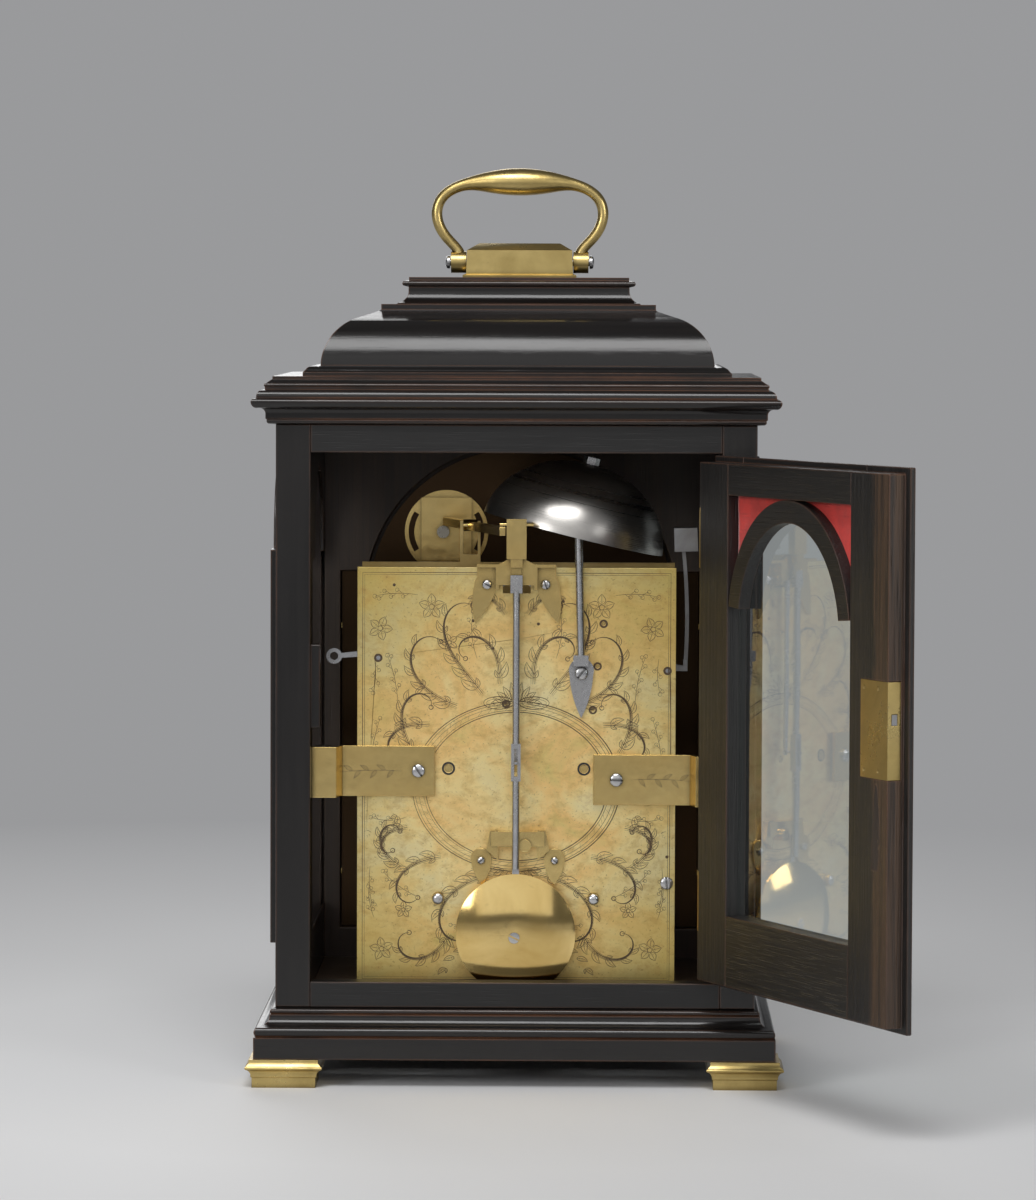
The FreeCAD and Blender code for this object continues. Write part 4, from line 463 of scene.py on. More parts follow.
DRESS = {
    EBONY_X: ("base_moulding", "cornice", "bell_top", "front_door_frame"),
    EBONY_Z: ("case_side_left", "case_side_right", "side_bezels"),
    INSIDE: ("rails_and_boards",),
    MASK: ("dial_mask",),
    BARE_Z: ("rear_door_hinge_stile",),
    BARE_LOCK: ("rear_door_lock_stile",),
    BARE_RAIL: ("rear_door_top_rail", "rear_door_bottom_rail", "rear_door_arch"),
    PLATE: ("back_plate",),
    CAST: ("feet", "handle", "handle_block", "rear_door_lock"),
    WORN_BRASS: ("front_plate", "case_hinges", "rear_door_hinge_leaves"),
    STEEL: ("screws", "bell_stand", "pendulum_rod", "anchor", "repeat_lever"),
    DARK_STEEL: ("hammer", "rear_lock_bolt"),
    BLUED: ("hour_hand", "minute_hand", "regulation_hand", "strike_silent_hand"),
    SILVERED: ("silvered_rings",),
    DIAL: ("dial_plate",),
    BELL: ("bell",),
    BOB: ("pendulum_bob",),
    GLASS: ("side_glasses", "front_door_glass", "rear_door_glass"),
    SILK: ("rear_door_silk",),
}
# straps, cock, wheels, fusees, barrels and the other works are all of polished brass
DRESSED = {name: material for material, names in DRESS.items() for name in names}
for name, node in NODES.items():
    for holder in node.material_slots:
        holder.link = "OBJECT"
        holder.material = DRESSED.get(name, BRASS)

SOFT_EDGES = {
    0.0008: ("bell_top", "handle_block"),
    0.0006: ("base_moulding", "cornice", "case_side_left", "case_side_right", "front_door_frame"),
    0.0005: (
        "rails_and_boards", "dial_mask", "rear_door_hinge_stile", "rear_door_lock_stile",
        "rear_door_top_rail", "rear_door_bottom_rail", "rear_door_arch", "feet",
    ),
    0.0003: ("movement_straps", "rear_door_lock", "hammer", "side_bezels", "bell_stand"),
    0.0002: (
        "back_cock", "holdfast", "regulation_bridge", "regulation_arm", "suspension_block", "back_plate",
    ),
}


CRISP_ANGLE = math.radians(40.0)
SAME_PLACE = 2e-6


def soften(piece, width):
    """rounds crisp edges by WIDTH metres, as filing and polishing leave them"""
    weld = piece.modifiers.new("weld", "WELD")
    weld.merge_threshold = SAME_PLACE
    edges = piece.modifiers.new("soft_edges", "BEVEL")
    edges.width = width
    edges.segments = 2
    edges.limit_method = "ANGLE"
    edges.angle_limit = CRISP_ANGLE
    even = piece.modifiers.new("even_shading", "WEIGHTED_NORMAL")
    even.mode = "FACE_AREA"
    even.weight = 80


for width, names in SOFT_EDGES.items():
    for name in names:
        soften(NODES[name], width)

# ---- building pieces


def made(name, bm, material, body, slot, smooth=35.0):
    """one piece from a bmesh, shaded smooth up to SMOOTH degrees"""
    bmesh.ops.recalc_face_normals(bm, faces=bm.faces)
    mesh = bpy.data.meshes.new(name)
    bm.to_mesh(mesh)
    bm.free()
    mesh.shade_smooth()
    mesh.set_sharp_from_angle(angle=math.radians(smooth))
    mesh.materials.append(material)
    piece = placed(name, mesh)
    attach(piece, body)
    return piece


def frame_of(axis, spin):
    """a rotation that takes +Z to AXIS, after a turn by SPIN degrees"""
    upright = Vector(axis).to_track_quat("Z", "Y").to_matrix().to_4x4()
    return upright @ Matrix.Rotation(math.radians(spin), 4, "Z")


def pivot(name):
    """where the axis of joint NAME meets the plates, in mm across and up"""
    x, _, z = JOINTS[name]["pos_m"]
    return x / MM, z / MM


def lathe(bm, centre, axis, profile, steps=32, spin=0.0):
    """turns PROFILE, pairs of radius and height in mm, about AXIS; a radius of 0 closes it"""
    turn = Matrix.Translation(Vector(centre) * MM) @ frame_of(axis, spin)
    rings = []
    for radius, height in profile:
        if radius == 0.0:
            rings.append([bm.verts.new(turn @ Vector((0.0, 0.0, height * MM)))])
            continue
        ring = []
        for k in range(steps):
            way = 2.0 * math.pi * k / steps
            point = Vector((radius * math.cos(way), radius * math.sin(way), height))
            ring.append(bm.verts.new(turn @ (point * MM)))
        rings.append(ring)
    faces = []
    for a, b in zip(rings, rings[1:]):
        for k in range(steps):
            near, far = k, (k + 1) % steps
            if len(a) == 1:
                faces.append(bm.faces.new((a[0], b[near], b[far])))
            elif len(b) == 1:
                faces.append(bm.faces.new((a[near], a[far], b[0])))
            else:
                faces.append(bm.faces.new((a[near], a[far], b[far], b[near])))
    return turn, faces


def slotted_head(bm, centre, axis, radius, height, dome, slot_width, spin):
    """a screw's head: a chamfered cheese head with a domed top and a filed slot across it"""
    profile = [
        (0.0, -0.1), (radius, -0.1), (radius, height - 0.25), (radius * 0.93, height),
        (radius * 0.72, height + dome * 0.55), (radius * 0.42, height + dome * 0.88), (0.0, height + dome),
    ]
    turn, faces = lathe(bm, centre, axis, profile, 36, spin)
    top = {face for face in faces if (turn.inverted() @ face.calc_center_median()).z > (height - 0.2) * MM}
    half = slot_width * 0.5 * MM
    for side in (-1.0, 1.0):
        normal = turn.to_3x3() @ Vector((side, 0.0, 0.0))
        point = turn @ Vector((side * half, 0.0, 0.0))
        edges = {edge for face in top for edge in face.edges}
        corners = {corner for face in top for corner in face.verts}
        geometry = [*top, *edges, *corners]
        cut = bmesh.ops.bisect_plane(bm, geom=geometry, plane_co=point, plane_no=normal, dist=1e-8)
        top = {item for item in cut["geom"] if isinstance(item, bmesh.types.BMFace)}
    back = turn.inverted()
    sunk = [face for face in top if face.is_valid and abs((back @ face.calc_center_median()).x) < half]
    pushed = bmesh.ops.extrude_face_region(bm, geom=sunk)
    depth = turn.to_3x3() @ Vector((0.0, 0.0, -(0.55 * height + dome) * MM))
    moved = [item for item in pushed["geom"] if isinstance(item, bmesh.types.BMVert)]
    bmesh.ops.translate(bm, verts=moved, vec=depth)
    bmesh.ops.delete(bm, geom=[face for face in sunk if face.is_valid], context="FACES_ONLY")


# ---- strokes and scrolls on a plane

BLADE = ((-1.0, -1.0), (0.0, 1.0), (1.0, -1.0))
HALF_ROUND = ((-1.0, -0.4), (-0.82, 0.45), (0.0, 1.0), (0.82, 0.45), (1.0, -0.4))
STEM_LINES = ((0.95, 0.2), (-0.85, 0.17), (1.7, 0.13))
EYE_RADIUS = 1.1


def curl(start, heading, length, bend, gather=0.0, steps=16):
    """a path that sets off at HEADING degrees and turns by BEND evenly and by GATHER towards its end"""
    u, v = start
    path = [(u, v)]
    for k in range(steps):
        part = (k + 0.5) / steps
        way = math.radians(heading + bend * part + gather * part**3)
        u += math.cos(way) * length / steps
        v += math.sin(way) * length / steps
        path.append((u, v))
    return path


def ahead(path, k):
    """the way across and up from the point before point K to the one after it"""
    a, b = path[max(k - 1, 0)], path[min(k + 1, len(path) - 1)]
    return b[0] - a[0], b[1] - a[1]


def leftward(path, k):
    """the unit vector to the left of the path at point K"""
    across, up = ahead(path, k)
    size = math.hypot(across, up) or 1.0
    return -up / size, across / size


def shifted(path, offset):
    """the path moved to its left by OFFSET(t), with t from 0 to 1 along it"""
    moved = []
    for k, (u, v) in enumerate(path):
        across, up = leftward(path, k)
        side = offset(k / (len(path) - 1))
        moved.append((u + across * side, v + up * side))
    return moved


def loop(u, v, radius, tall=1.0, steps=28, start=0.0, sweep=360.0):
    """an arc of SWEEP degrees about (u, v), or an oval one if TALL isn't 1"""
    ways = [math.radians(start + sweep * k / steps) for k in range(steps + 1)]
    return [(u + radius * math.cos(way), v + radius * tall * math.sin(way)) for way in ways]


def leaf(start, heading, length, bend, width, veins=2):
    """an engraved leaf: its midrib, both edges and a few veins"""
    rib = curl(start, heading, length, bend, steps=10)
    strokes = [(rib[:-1], 0.15)]
    for side in (-1.0, 1.0):
        edge = shifted(rib, lambda t: side * width * math.sin(math.pi * t**0.75))
        strokes.append((edge, 0.21))
        for k in range(veins):
            index = 2 + 2 * k
            near, far = rib[index], edge[index + 2]
            middle = (near[0] * 0.45 + far[0] * 0.55, near[1] * 0.45 + far[1] * 0.55)
            strokes.append(([near, middle], 0.12))
    return strokes


def heading_at(path, index):
    across, up = ahead(path, index)
    return math.degrees(math.atan2(up, across))


def frond(start, heading, length, bend, gather, leaves, size, side):
    """an acanthus scroll: a stem of four close lines ending in an eye, with leaves along it"""
    stem = curl(start, heading, length, bend, gather, 30)
    strokes = [(stem, 0.34)]
    for offset, width in STEM_LINES:
        strokes.append((shifted(stem, lambda t: side * offset * (1.0 - t)), width))
    strokes.append((loop(*stem[-1], EYE_RADIUS, steps=12), 0.3))
    for k in range(leaves):
        part = (k + 0.35) / leaves
        index = int(part * 24) + 1
        lean = heading_at(stem, index) + side * 52.0
        reach = size * (1.0 - 0.4 * part)
        strokes += leaf(stem[index], lean, reach, side * -58.0, reach * 0.2)
        if k % 2 == 0:
            strokes += leaf(stem[index], lean - side * 100.0, reach * 0.5, side * 40.0, reach * 0.11, 0)
    return strokes


def blossom(u, v, radius, petals, turn):
    """an open flower with rounded petals round a small boss"""
    strokes = [(loop(u, v, radius * 0.2, steps=12), 0.26)]
    for k in range(petals):
        way = turn + 360.0 * k / petals
        across, up = math.cos(math.radians(way)), math.sin(math.radians(way))
        start = (u + radius * 0.24 * across, v + radius * 0.24 * up)
        strokes += leaf(start, way, radius * 0.78, 0.0, radius * 0.3, 1)
    return strokes


def sprig(start, heading, length, bend, buds, size):
    """a thin tendril with round buds on short stalks"""
    stem = curl(start, heading, length, bend, steps=14)
    strokes = [(stem, 0.18)]
    for k in range(buds):
        index = 3 + int(11 * k / buds)
        side = 1.0 if k % 2 else -1.0
        stalk = curl(stem[index], heading_at(stem, index) + side * 46.0, size * 1.7, side * -30.0, steps=4)
        strokes.append((stalk, 0.14))
        strokes.append((loop(*stalk[-1], size * 0.5, steps=10), 0.15))
    strokes.append((loop(*stem[-1], size * 0.55, steps=10), 0.16))
    return strokes


def mirrored(strokes):
    return strokes + [([(-u, v) for u, v in path], width) for path, width in strokes]


def lay(bm, plane, path, width, height, section, taper=True):
    """sweeps SECTION along PATH, pairs in mm on PLANE, closed at both ends and thinner there if TAPER"""
    last = len(path) - 1
    rings = []
    for k, (u, v) in enumerate(path):
        across, up = leftward(path, k)
        swell = 0.5 + 0.5 * max(0.0, math.sin(math.pi * k / last)) ** 0.7 if taper else 1.0
        reach = 0.5 * width * swell
        rings.append([
            bm.verts.new(plane(u + across * s * reach, v + up * s * reach, h * height * swell))
            for s, h in section
        ])
    for a, b in zip(rings, rings[1:]):
        for k in range(len(section)):
            near, far = k, (k + 1) % len(section)
            bm.faces.new((a[near], a[far], b[far], b[near]))
    bm.faces.new(rings[0])
    bm.faces.new(reversed(rings[-1]))


def drawing(name, strokes, plane, material, slot, height=0.05, thickness=1.0, taper=True):
    """all of STROKES, pairs of a path and a width, laid on PLANE as one piece of the movement"""
    bm = bmesh.new()
    for path, width in strokes:
        lay(bm, plane, path, width * thickness, height, BLADE, taper)
    made(name, bm, material, CASE, slot)


def facing_rear(depth):
    return lambda u, v, h: Vector((u, depth + h, v)) * MM


def facing_front(depth):
    return lambda u, v, h: Vector((u, depth - h, v)) * MM


# ---- the back plate's engraving

PLATE_LOW, PLATE_HIGH = (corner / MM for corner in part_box("back_plate"))
PLATE_FACE = PLATE_HIGH.y
CARTOUCHE = (0.0, 149.0)
CARTOUCHE_TALL = 0.82
CARTOUCHE_LINES = ((46.0, 0.34), (47.2, 0.16), (49.6, 0.14), (51.4, 0.18), (52.6, 0.36))
BORDER = 4.5
BORDER_LINES = ((2.7, 0.26), (3.7, 0.15))


def rectangle(inset):
    """the plate's outline, INSET mm inside its edges, as four strokes"""
    low_u, low_v = PLATE_LOW.x + inset, PLATE_LOW.z + inset
    high_u, high_v = PLATE_HIGH.x - inset, PLATE_HIGH.z - inset
    corners = [(low_u, low_v), (high_u, low_v), (high_u, high_v), (low_u, high_v), (low_u, low_v)]
    steps = 6
    sides = []
    for (a, b), (c, d) in zip(corners, corners[1:]):
        sides.append([(a + (c - a) * k / steps, b + (d - b) * k / steps) for k in range(steps + 1)])
    return sides


def within_border(path):
    """whether the whole path stays inside the plate's engraved border"""
    low_u, low_v = PLATE_LOW.x + BORDER, PLATE_LOW.z + BORDER
    high_u, high_v = PLATE_HIGH.x - BORDER, PLATE_HIGH.z - BORDER
    return all(low_u < u < high_u and low_v < v < high_v for u, v in path)


MOTIFS = (
    (frond, (9.0, 201.0), 96.0, 47.0, -70.0, -190.0, 5, 9.5, 1.0),
    (frond, (17.0, 196.0), 52.0, 62.0, -12.0, 175.0, 6, 10.5, -1.0),
    (frond, (30.0, 190.0), 18.0, 58.0, 62.0, 150.0, 6, 9.5, -1.0),
    (frond, (44.0, 180.0), 6.0, 38.0, -58.0, -170.0, 4, 8.0, 1.0),
    (blossom, 43.0, 240.0, 6.6, 5, 18.0),
    (blossom, 69.0, 229.0, 6.2, 5, 40.0),
    (sprig, (50.0, 246.0), 10.0, 22.0, -24.0, 5, 1.9),
    (sprig, (27.0, 240.0), 150.0, 13.0, 30.0, 3, 1.7),
    (sprig, (72.0, 214.0), -100.0, 18.0, 24.0, 4, 1.8),
    (frond, (58.0, 137.0), -58.0, 40.0, 62.0, 170.0, 4, 8.0, -1.0),
    (sprig, (56.0, 133.0), -20.0, 18.0, 40.0, 4, 1.7),
    (frond, (12.0, 104.0), -12.0, 66.0, -66.0, -215.0, 7, 10.0, 1.0),
    (frond, (38.0, 113.0), -8.0, 46.0, -46.0, -190.0, 5, 9.0, 1.0),
    (frond, (34.0, 74.0), -66.0, 44.0, 92.0, 160.0, 5, 8.5, -1.0),
    (blossom, 68.0, 66.0, 6.0, 5, 10.0),
    (sprig, (72.0, 82.0), 70.0, 16.0, 20.0, 4, 1.7),
    (sprig, (30.0, 58.0), 190.0, 24.0, 26.0, 5, 1.7),
    (frond, (52.0, 166.0), 60.0, 46.0, 40.0, 190.0, 6, 9.0, -1.0),
    (frond, (55.0, 128.0), -10.0, 26.0, -30.0, -200.0, 4, 6.5, 1.0),
    (frond, (6.0, 236.0), 60.0, 26.0, -50.0, -150.0, 4, 7.0, 1.0),
    (frond, (58.0, 108.0), 30.0, 34.0, 60.0, 170.0, 5, 8.0, -1.0),
    (frond, (22.0, 66.0), -20.0, 34.0, -40.0, -190.0, 4, 7.0, 1.0),
    (sprig, (20.0, 214.0), 70.0, 24.0, 30.0, 6, 1.8),
    (sprig, (60.0, 190.0), 88.0, 26.0, -20.0, 6, 1.8),
    (sprig, (74.0, 160.0), 96.0, 24.0, 12.0, 5, 1.7),
    (sprig, (48.0, 92.0), 20.0, 24.0, 30.0, 6, 1.7),
    (sprig, (74.0, 108.0), -84.0, 22.0, -20.0, 5, 1.7),
    (sprig, (12.0, 84.0), -30.0, 22.0, 30.0, 5, 1.6),
    (blossom, 34.0, 222.0, 4.6, 5, 0.0),
    (blossom, 57.0, 86.0, 4.4, 5, 20.0),
)


def plate_engraving():
    """A bare oval cartouche in a ribbed band, with mirrored acanthus fronds, flowers and buds round it."""
    strokes = []
    for inset, width in BORDER_LINES:
        strokes += [(side, width) for side in rectangle(inset)]
    for radius, width in CARTOUCHE_LINES:
        strokes.append((loop(*CARTOUCHE, radius, CARTOUCHE_TALL, 84), width))
    for k in range(72):
        way = 5.0 * k + 2.0 * math.sin(k)
        inner = loop(*CARTOUCHE, 47.4, CARTOUCHE_TALL, 1, way, 0.5)[0]
        outer = loop(*CARTOUCHE, 49.4 + 1.6 * (k % 3 == 0), CARTOUCHE_TALL, 1, way + 3.2, 0.5)[0]
        strokes.append(([inner, outer], 0.13))
    half = []
    for k in range(5):
        bend = -12.0 - 6 * k
        half += leaf((1.5 + k * 1.3, 192.5 - k * 0.4), 88.0 - k * 17.0, 9.5 - k * 0.8, bend, 1.5, 1)
        half += leaf((1.5 + k * 1.5, 105.5 + k * 0.4), -86.0 + k * 17.0, 8.5 - k * 0.7, 14.0, 1.4, 1)
    half.append((loop(9.0, 191.4, 7.6, 0.42, 24), 0.3))
    half.append((loop(9.0, 191.4, 6.2, 0.32, 24), 0.15))
    for motif, *numbers in MOTIFS:
        half += motif(*numbers)
    return strokes + mirrored([(path, width) for path, width in half if within_border(path)])


drawing(
    "plate_engraving", plate_engraving(), facing_rear(PLATE_FACE), ENGRAVED, "gilt_brass",
    height=0.03, thickness=2.9,
)

RIGHT_STRAP, LEFT_STRAP = 156.8, 152.8
STRAP_FACE = 66.0
TWIG_START = 58.0


def strap_engraving():
    """a leafy twig along each strap"""
    strokes = []
    for side, height in ((1.0, RIGHT_STRAP), (-1.0, LEFT_STRAP)):
        twig = sprig((0.0, 0.0), 4.0, 30.0, -10.0, 0, 1.0)
        for k in range(6):
            twig += leaf((4.0 + 4.2 * k, 0.5 - 0.1 * k), (42.0 if k % 2 else -40.0), 5.2, -20.0, 0.8, 0)
        for path, width in twig:
            strokes.append(([(side * (TWIG_START + u), height + v) for u, v in path], width))
    return strokes


drawing(
    "strap_engraving", strap_engraving(), facing_rear(STRAP_FACE), ENGRAVED, "gilt_brass",
    height=0.03, thickness=2.2,
)

# ---- screws, arbor ends and bushes

SCREW_HEADS = (
    (49.5, 66.0, 157.0, 3.3, 35.0), (-50.8, 66.0, 152.8, 3.3, 88.0), (15.0, 64.6, 251.5, 2.4, 60.0),
    (-14.6, 64.6, 251.5, 2.4, 20.0), (-32.9, 64.8, 206.8, 3.2, -38.0), (17.6, 64.5, 111.5, 1.9, -50.0),
    (-19.6, 64.5, 111.5, 1.9, 48.0), (-76.4, 63.0, 100.2, 3.2, 4.0),
)
HEAD_HEIGHT, HEAD_DOME, SLOT_SHARE = 1.35, 0.5, 0.32
HANDLE_PIVOT = 414.5
HANDLE_HEAD = 36.9
HANDLE_SCREW = ((0.0, 21.5), (1.93, 21.5), (1.93, 36.0), (3.38, 36.0), (3.38, 37.0), (0.0, 37.0))


def screws():
    """every screw of the movement and the handle, with a real slot in each head"""
    bm = bmesh.new()
    for x, y, z, radius, spin in SCREW_HEADS:
        slotted_head(bm, (x, y, z), REARWARD, radius, HEAD_HEIGHT, HEAD_DOME, radius * SLOT_SHARE, spin)
    for side in (1.0, -1.0):
        lathe(bm, (0.0, 0.0, HANDLE_PIVOT), (side, 0, 0), HANDLE_SCREW, 24)
        head = (side * HANDLE_HEAD, 0.0, HANDLE_PIVOT)
        slotted_head(bm, head, (side, 0, 0), 3.3, 0.7, 0.7, 0.9, 24.0)
    piece = made("screw_heads", bm, STEEL, CASE, "steel", 28.0)
    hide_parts("screws")


BOB_SCREW = (0.6, 73.4)
BOB_SCREW_SUNK = 0.25


def bob_screw():
    """the steel screw that holds the bob to the rod, set in the bob's face"""
    bm = bmesh.new()
    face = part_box("pendulum_bob")[1].y / MM
    place = (BOB_SCREW[0], face - BOB_SCREW_SUNK, BOB_SCREW[1])
    slotted_head(bm, place, REARWARD, 2.95, 0.3, 0.1, 0.9, 64.0)
    made("bob_screw", bm, STEEL, "pendulum", "steel", 28.0)


BARREL_END = ((0.0, 0.9), (1.4, 0.8), (2.5, 0.3), (2.95, -0.3), (2.95, -1.4))
PIVOT_RIM = ((2.35, -0.3), (2.35, 0.10), (3.3, 0.10), (3.5, -0.3))
OIL_SINK = ((1.15, -0.2), (1.15, 0.02), (1.5, 0.09), (2.1, 0.09), (2.3, -0.2))
PIN_END = ((0.0, 0.14), (0.55, 0.12), (0.8, 0.0), (0.8, -0.2))
PIN_PLACES = ((-23.5, 243.0), (22.0, 233.0), (-11.0, 231.5), (12.0, 219.0), (-76.5, 113.5), (62.0, 251.0))
SUNK_JOINTS = ("third_spin", "pin_wheel_spin", "warning_spin", "fly_spin", "hammer_swing", "repeat_pull")


def barrel_ends():
    """the domed steel ends of the barrels' arbors"""
    for name in ("going_barrel", "strike_barrel"):
        bm = bmesh.new()
        x, z = pivot(f"{name}_spin")
        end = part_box(name)[1].y / MM
        lathe(bm, (x, end, z), REARWARD, BARREL_END, 36)
        made(f"{name}_end", bm, STEEL, name, "steel", 50.0)


def fusee_pivots():
    """dark rims round the fusees' rear pivots"""
    bm = bmesh.new()
    for name in ("going_fusee_spin", "strike_fusee_spin"):
        x, z = pivot(name)
        lathe(bm, (x, PLATE_FACE, z), REARWARD, PIVOT_RIM, 36)
    made("pivot_rims", bm, BLACK_WAX, CASE, "gilt_brass", 50.0)


def bushes():
    """the dark oil sinks round the arbors' rear pivots, and the ends of small pins"""
    bm = bmesh.new()
    for name in SUNK_JOINTS:
        x, z = pivot(name)
        lathe(bm, (x, PLATE_FACE, z), REARWARD, OIL_SINK, 28)
    for x, z in PIN_PLACES:
        lathe(bm, (x, PLATE_FACE, z), REARWARD, PIN_END, 20)
    made("oil_sinks", bm, ENGRAVED, CASE, "gilt_brass")


# ---- rear door: silk, rivets, splintered strip

ARCH_CENTRE = (97.3, 234.4)
ARCH_MIDDLE = 60.0
SILK_EDGES = (32.3, 162.3)
SILK_TOP, SILK_BOTTOM = 299.2, 251.4
SILK_OUT = -7.35
SILK_CELL = 1.6
SILK_THICKNESS = 0.0002


def silk():
    """two spandrels of silk cut from one strip, pulled from the corners, with slight puckers"""
    bm = bmesh.new()
    columns = int((SILK_EDGES[1] - SILK_EDGES[0]) / SILK_CELL)
    rows = int((SILK_TOP - SILK_BOTTOM) / SILK_CELL)
    wide, tall = (SILK_EDGES[1] - SILK_EDGES[0]) / columns, (SILK_TOP - SILK_BOTTOM) / rows
    points = {}
    for i in range(columns):
        for j in range(rows):
            along = SILK_EDGES[0] + (i + 0.5) * wide
            height = SILK_BOTTOM + (j + 0.5) * tall
            if math.hypot(along - ARCH_CENTRE[0], height - ARCH_CENTRE[1]) < ARCH_MIDDLE:
                continue
            corners = []
            for a, b in ((i, j), (i + 1, j), (i + 1, j + 1), (i, j + 1)):
                if (a, b) not in points:
                    x, z = SILK_EDGES[0] + a * wide, SILK_BOTTOM + b * tall
                    pull = abs(x - ARCH_CENTRE[0]) * 0.14 + z * 0.22
                    ripple = 0.16 * math.sin(pull) + 0.14 * noise.noise(Vector((x * 0.11, z * 0.2, 3.0)))
                    points[(a, b)] = bm.verts.new(door_point(x, SILK_OUT + ripple, z))
                corners.append(points[(a, b)])
            bm.faces.new(corners)
    piece = made("silk_spandrels", bm, SILK, "rear_door", "red_silk", 80.0)
    body = piece.modifiers.new("thickness", "SOLIDIFY")
    body.thickness = SILK_THICKNESS
    body.offset = 0.0
    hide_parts("rear_door_silk")


RIVET = ((0.0, 0.35), (0.7, 0.3), (1.15, 0.05), (1.15, -0.3))
RIVET_HEIGHTS = (175.6, 214.4)
RIVETS_ALONG = (177.0, 191.0)
TORN_FOOT, TORN_TOP = 128.0, 170.5
TORN_ALONG = 188.5
TORN_ROWS, TORN_COLUMNS = 34, 9
TORN_SUNK = -0.12
TORN_THICKNESS = 0.0003


def lock_details():
    """four rivets on the brass lock case"""
    bm = bmesh.new()
    for z in RIVET_HEIGHTS:
        for along in RIVETS_ALONG:
            lathe(bm, door_point(along, DOOR_INNER, z) / MM, -DOOR_OUT, RIVET, 20)
    made("lock_rivets", bm, WORN_BRASS, "rear_door", "brass")


def torn_patch():
    """the splintered strip below the lock, a ragged low relief along the stile"""
    bm = bmesh.new()
    grid = []
    for j in range(TORN_ROWS + 1):
        t = j / TORN_ROWS
        z = TORN_FOOT + (TORN_TOP - TORN_FOOT) * t
        middle = TORN_ALONG + 1.6 * math.sin(2.6 * t) + 0.7 * noise.noise(Vector((0.0, t * 7.0, 1.0)))
        half = (5.2 - 2.4 * t) * max(0.0, math.sin(math.pi * min(1.0, 0.08 + t * 0.92))) ** 0.4 + 0.5
        row = []
        for i in range(TORN_COLUMNS + 1):
            s = 2.0 * i / TORN_COLUMNS - 1.0
            along = middle + half * s + 0.35 * noise.noise(Vector((i * 2.3, j * 0.9, 5.0)))
            rim = 1.0 - abs(s) ** 4
            ragged = 0.55 + 0.6 * noise.noise(Vector((along * 1.4, z * 0.16, 2.0)))
            lift = TORN_SUNK if j in (0, TORN_ROWS) else 0.42 * rim * ragged + TORN_SUNK
            row.append(bm.verts.new(door_point(along, DOOR_INNER - lift, z)))
        grid.append(row)
    for a, b in zip(grid, grid[1:]):
        for k in range(TORN_COLUMNS):
            bm.faces.new((a[k], a[k + 1], b[k + 1], b[k]))
    piece = made("torn_strip", bm, TORN, "rear_door", "ebonised_wood", 70.0)
    body = piece.modifiers.new("thickness", "SOLIDIFY")
    body.thickness = TORN_THICKNESS
    body.offset = -1.0


for build in (screws, bob_screw, barrel_ends, fusee_pivots, bushes, silk, lock_details, torn_patch):
    build()

# ---- the dial

DIAL_CENTRE = pivot("centre_spin")
RING_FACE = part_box("silvered_rings")[0].y / MM
DIAL_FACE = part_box("dial_plate")[0].y / MM
HOURS = ("XII", "I", "II", "III", "IIII", "V", "VI", "VII", "VIII", "IX", "X", "XI")
NUMERAL_FOOT, NUMERAL_HEIGHT = 65.2, 11.0
SERIF = 0.11
RING_LINES = (61.0, 63.4, 78.6, 81.8)
HALF_HOUR_FOOT, HALF_HOUR_MIDDLE, HALF_HOUR_TIP = 66.5, 70.5, 74.5
MINUTE_TICK, QUARTER_TICK = (78.7, 81.7), (61.1, 63.3)
SMALL_RING_LINES = (12.0, 18.6)
SMALL_TICK, SHORT_TICK, LONG_TICK = 12.6, 15.2, 17.4
SMALL_RING_STEP = 0.2
SMALL_RINGS = (("regulation_turn", -150.0, 150.0, 31), ("strike_silent_turn", -70.0, 70.0, 5))
LETTERS = {
    "I": (0.30, (((0.15, 0.0), (0.15, 1.0), 1.6),)),
    "V": (0.66, (((0.10, 1.0), (0.33, 0.0), 1.6), ((0.33, 0.0), (0.56, 1.0), 0.5))),
    "X": (0.66, (((0.10, 1.0), (0.56, 0.0), 1.6), ((0.10, 0.0), (0.56, 1.0), 0.5))),
}


def on_ring(degrees, radius, centre=DIAL_CENTRE):
    way = math.radians(degrees)
    return (centre[0] + radius * math.sin(way), centre[1] + radius * math.cos(way))


def numeral(text, degrees):
    """one Roman numeral with its feet towards the dial's centre"""
    strokes = []
    cursor = -0.5 * sum(LETTERS[letter][0] for letter in text)

    def place(x, y):
        turn = math.degrees(x * NUMERAL_HEIGHT / (NUMERAL_FOOT + 0.5 * NUMERAL_HEIGHT))
        return on_ring(degrees + turn, NUMERAL_FOOT + y * NUMERAL_HEIGHT)

    for letter in text:
        width, stems = LETTERS[letter]
        for (x0, y0), (x1, y1), weight in stems:
            path = [(x0 + (x1 - x0) * t / 4, y0 + (y1 - y0) * t / 4) for t in range(5)]
            strokes.append(([place(cursor + x, y) for x, y in path], weight))
            for x, y in ((x0, y0), (x1, y1)):
                strokes.append(([place(cursor + x + reach, y) for reach in (-SERIF, 0.0, SERIF)], 0.32))
        cursor += width
    return strokes


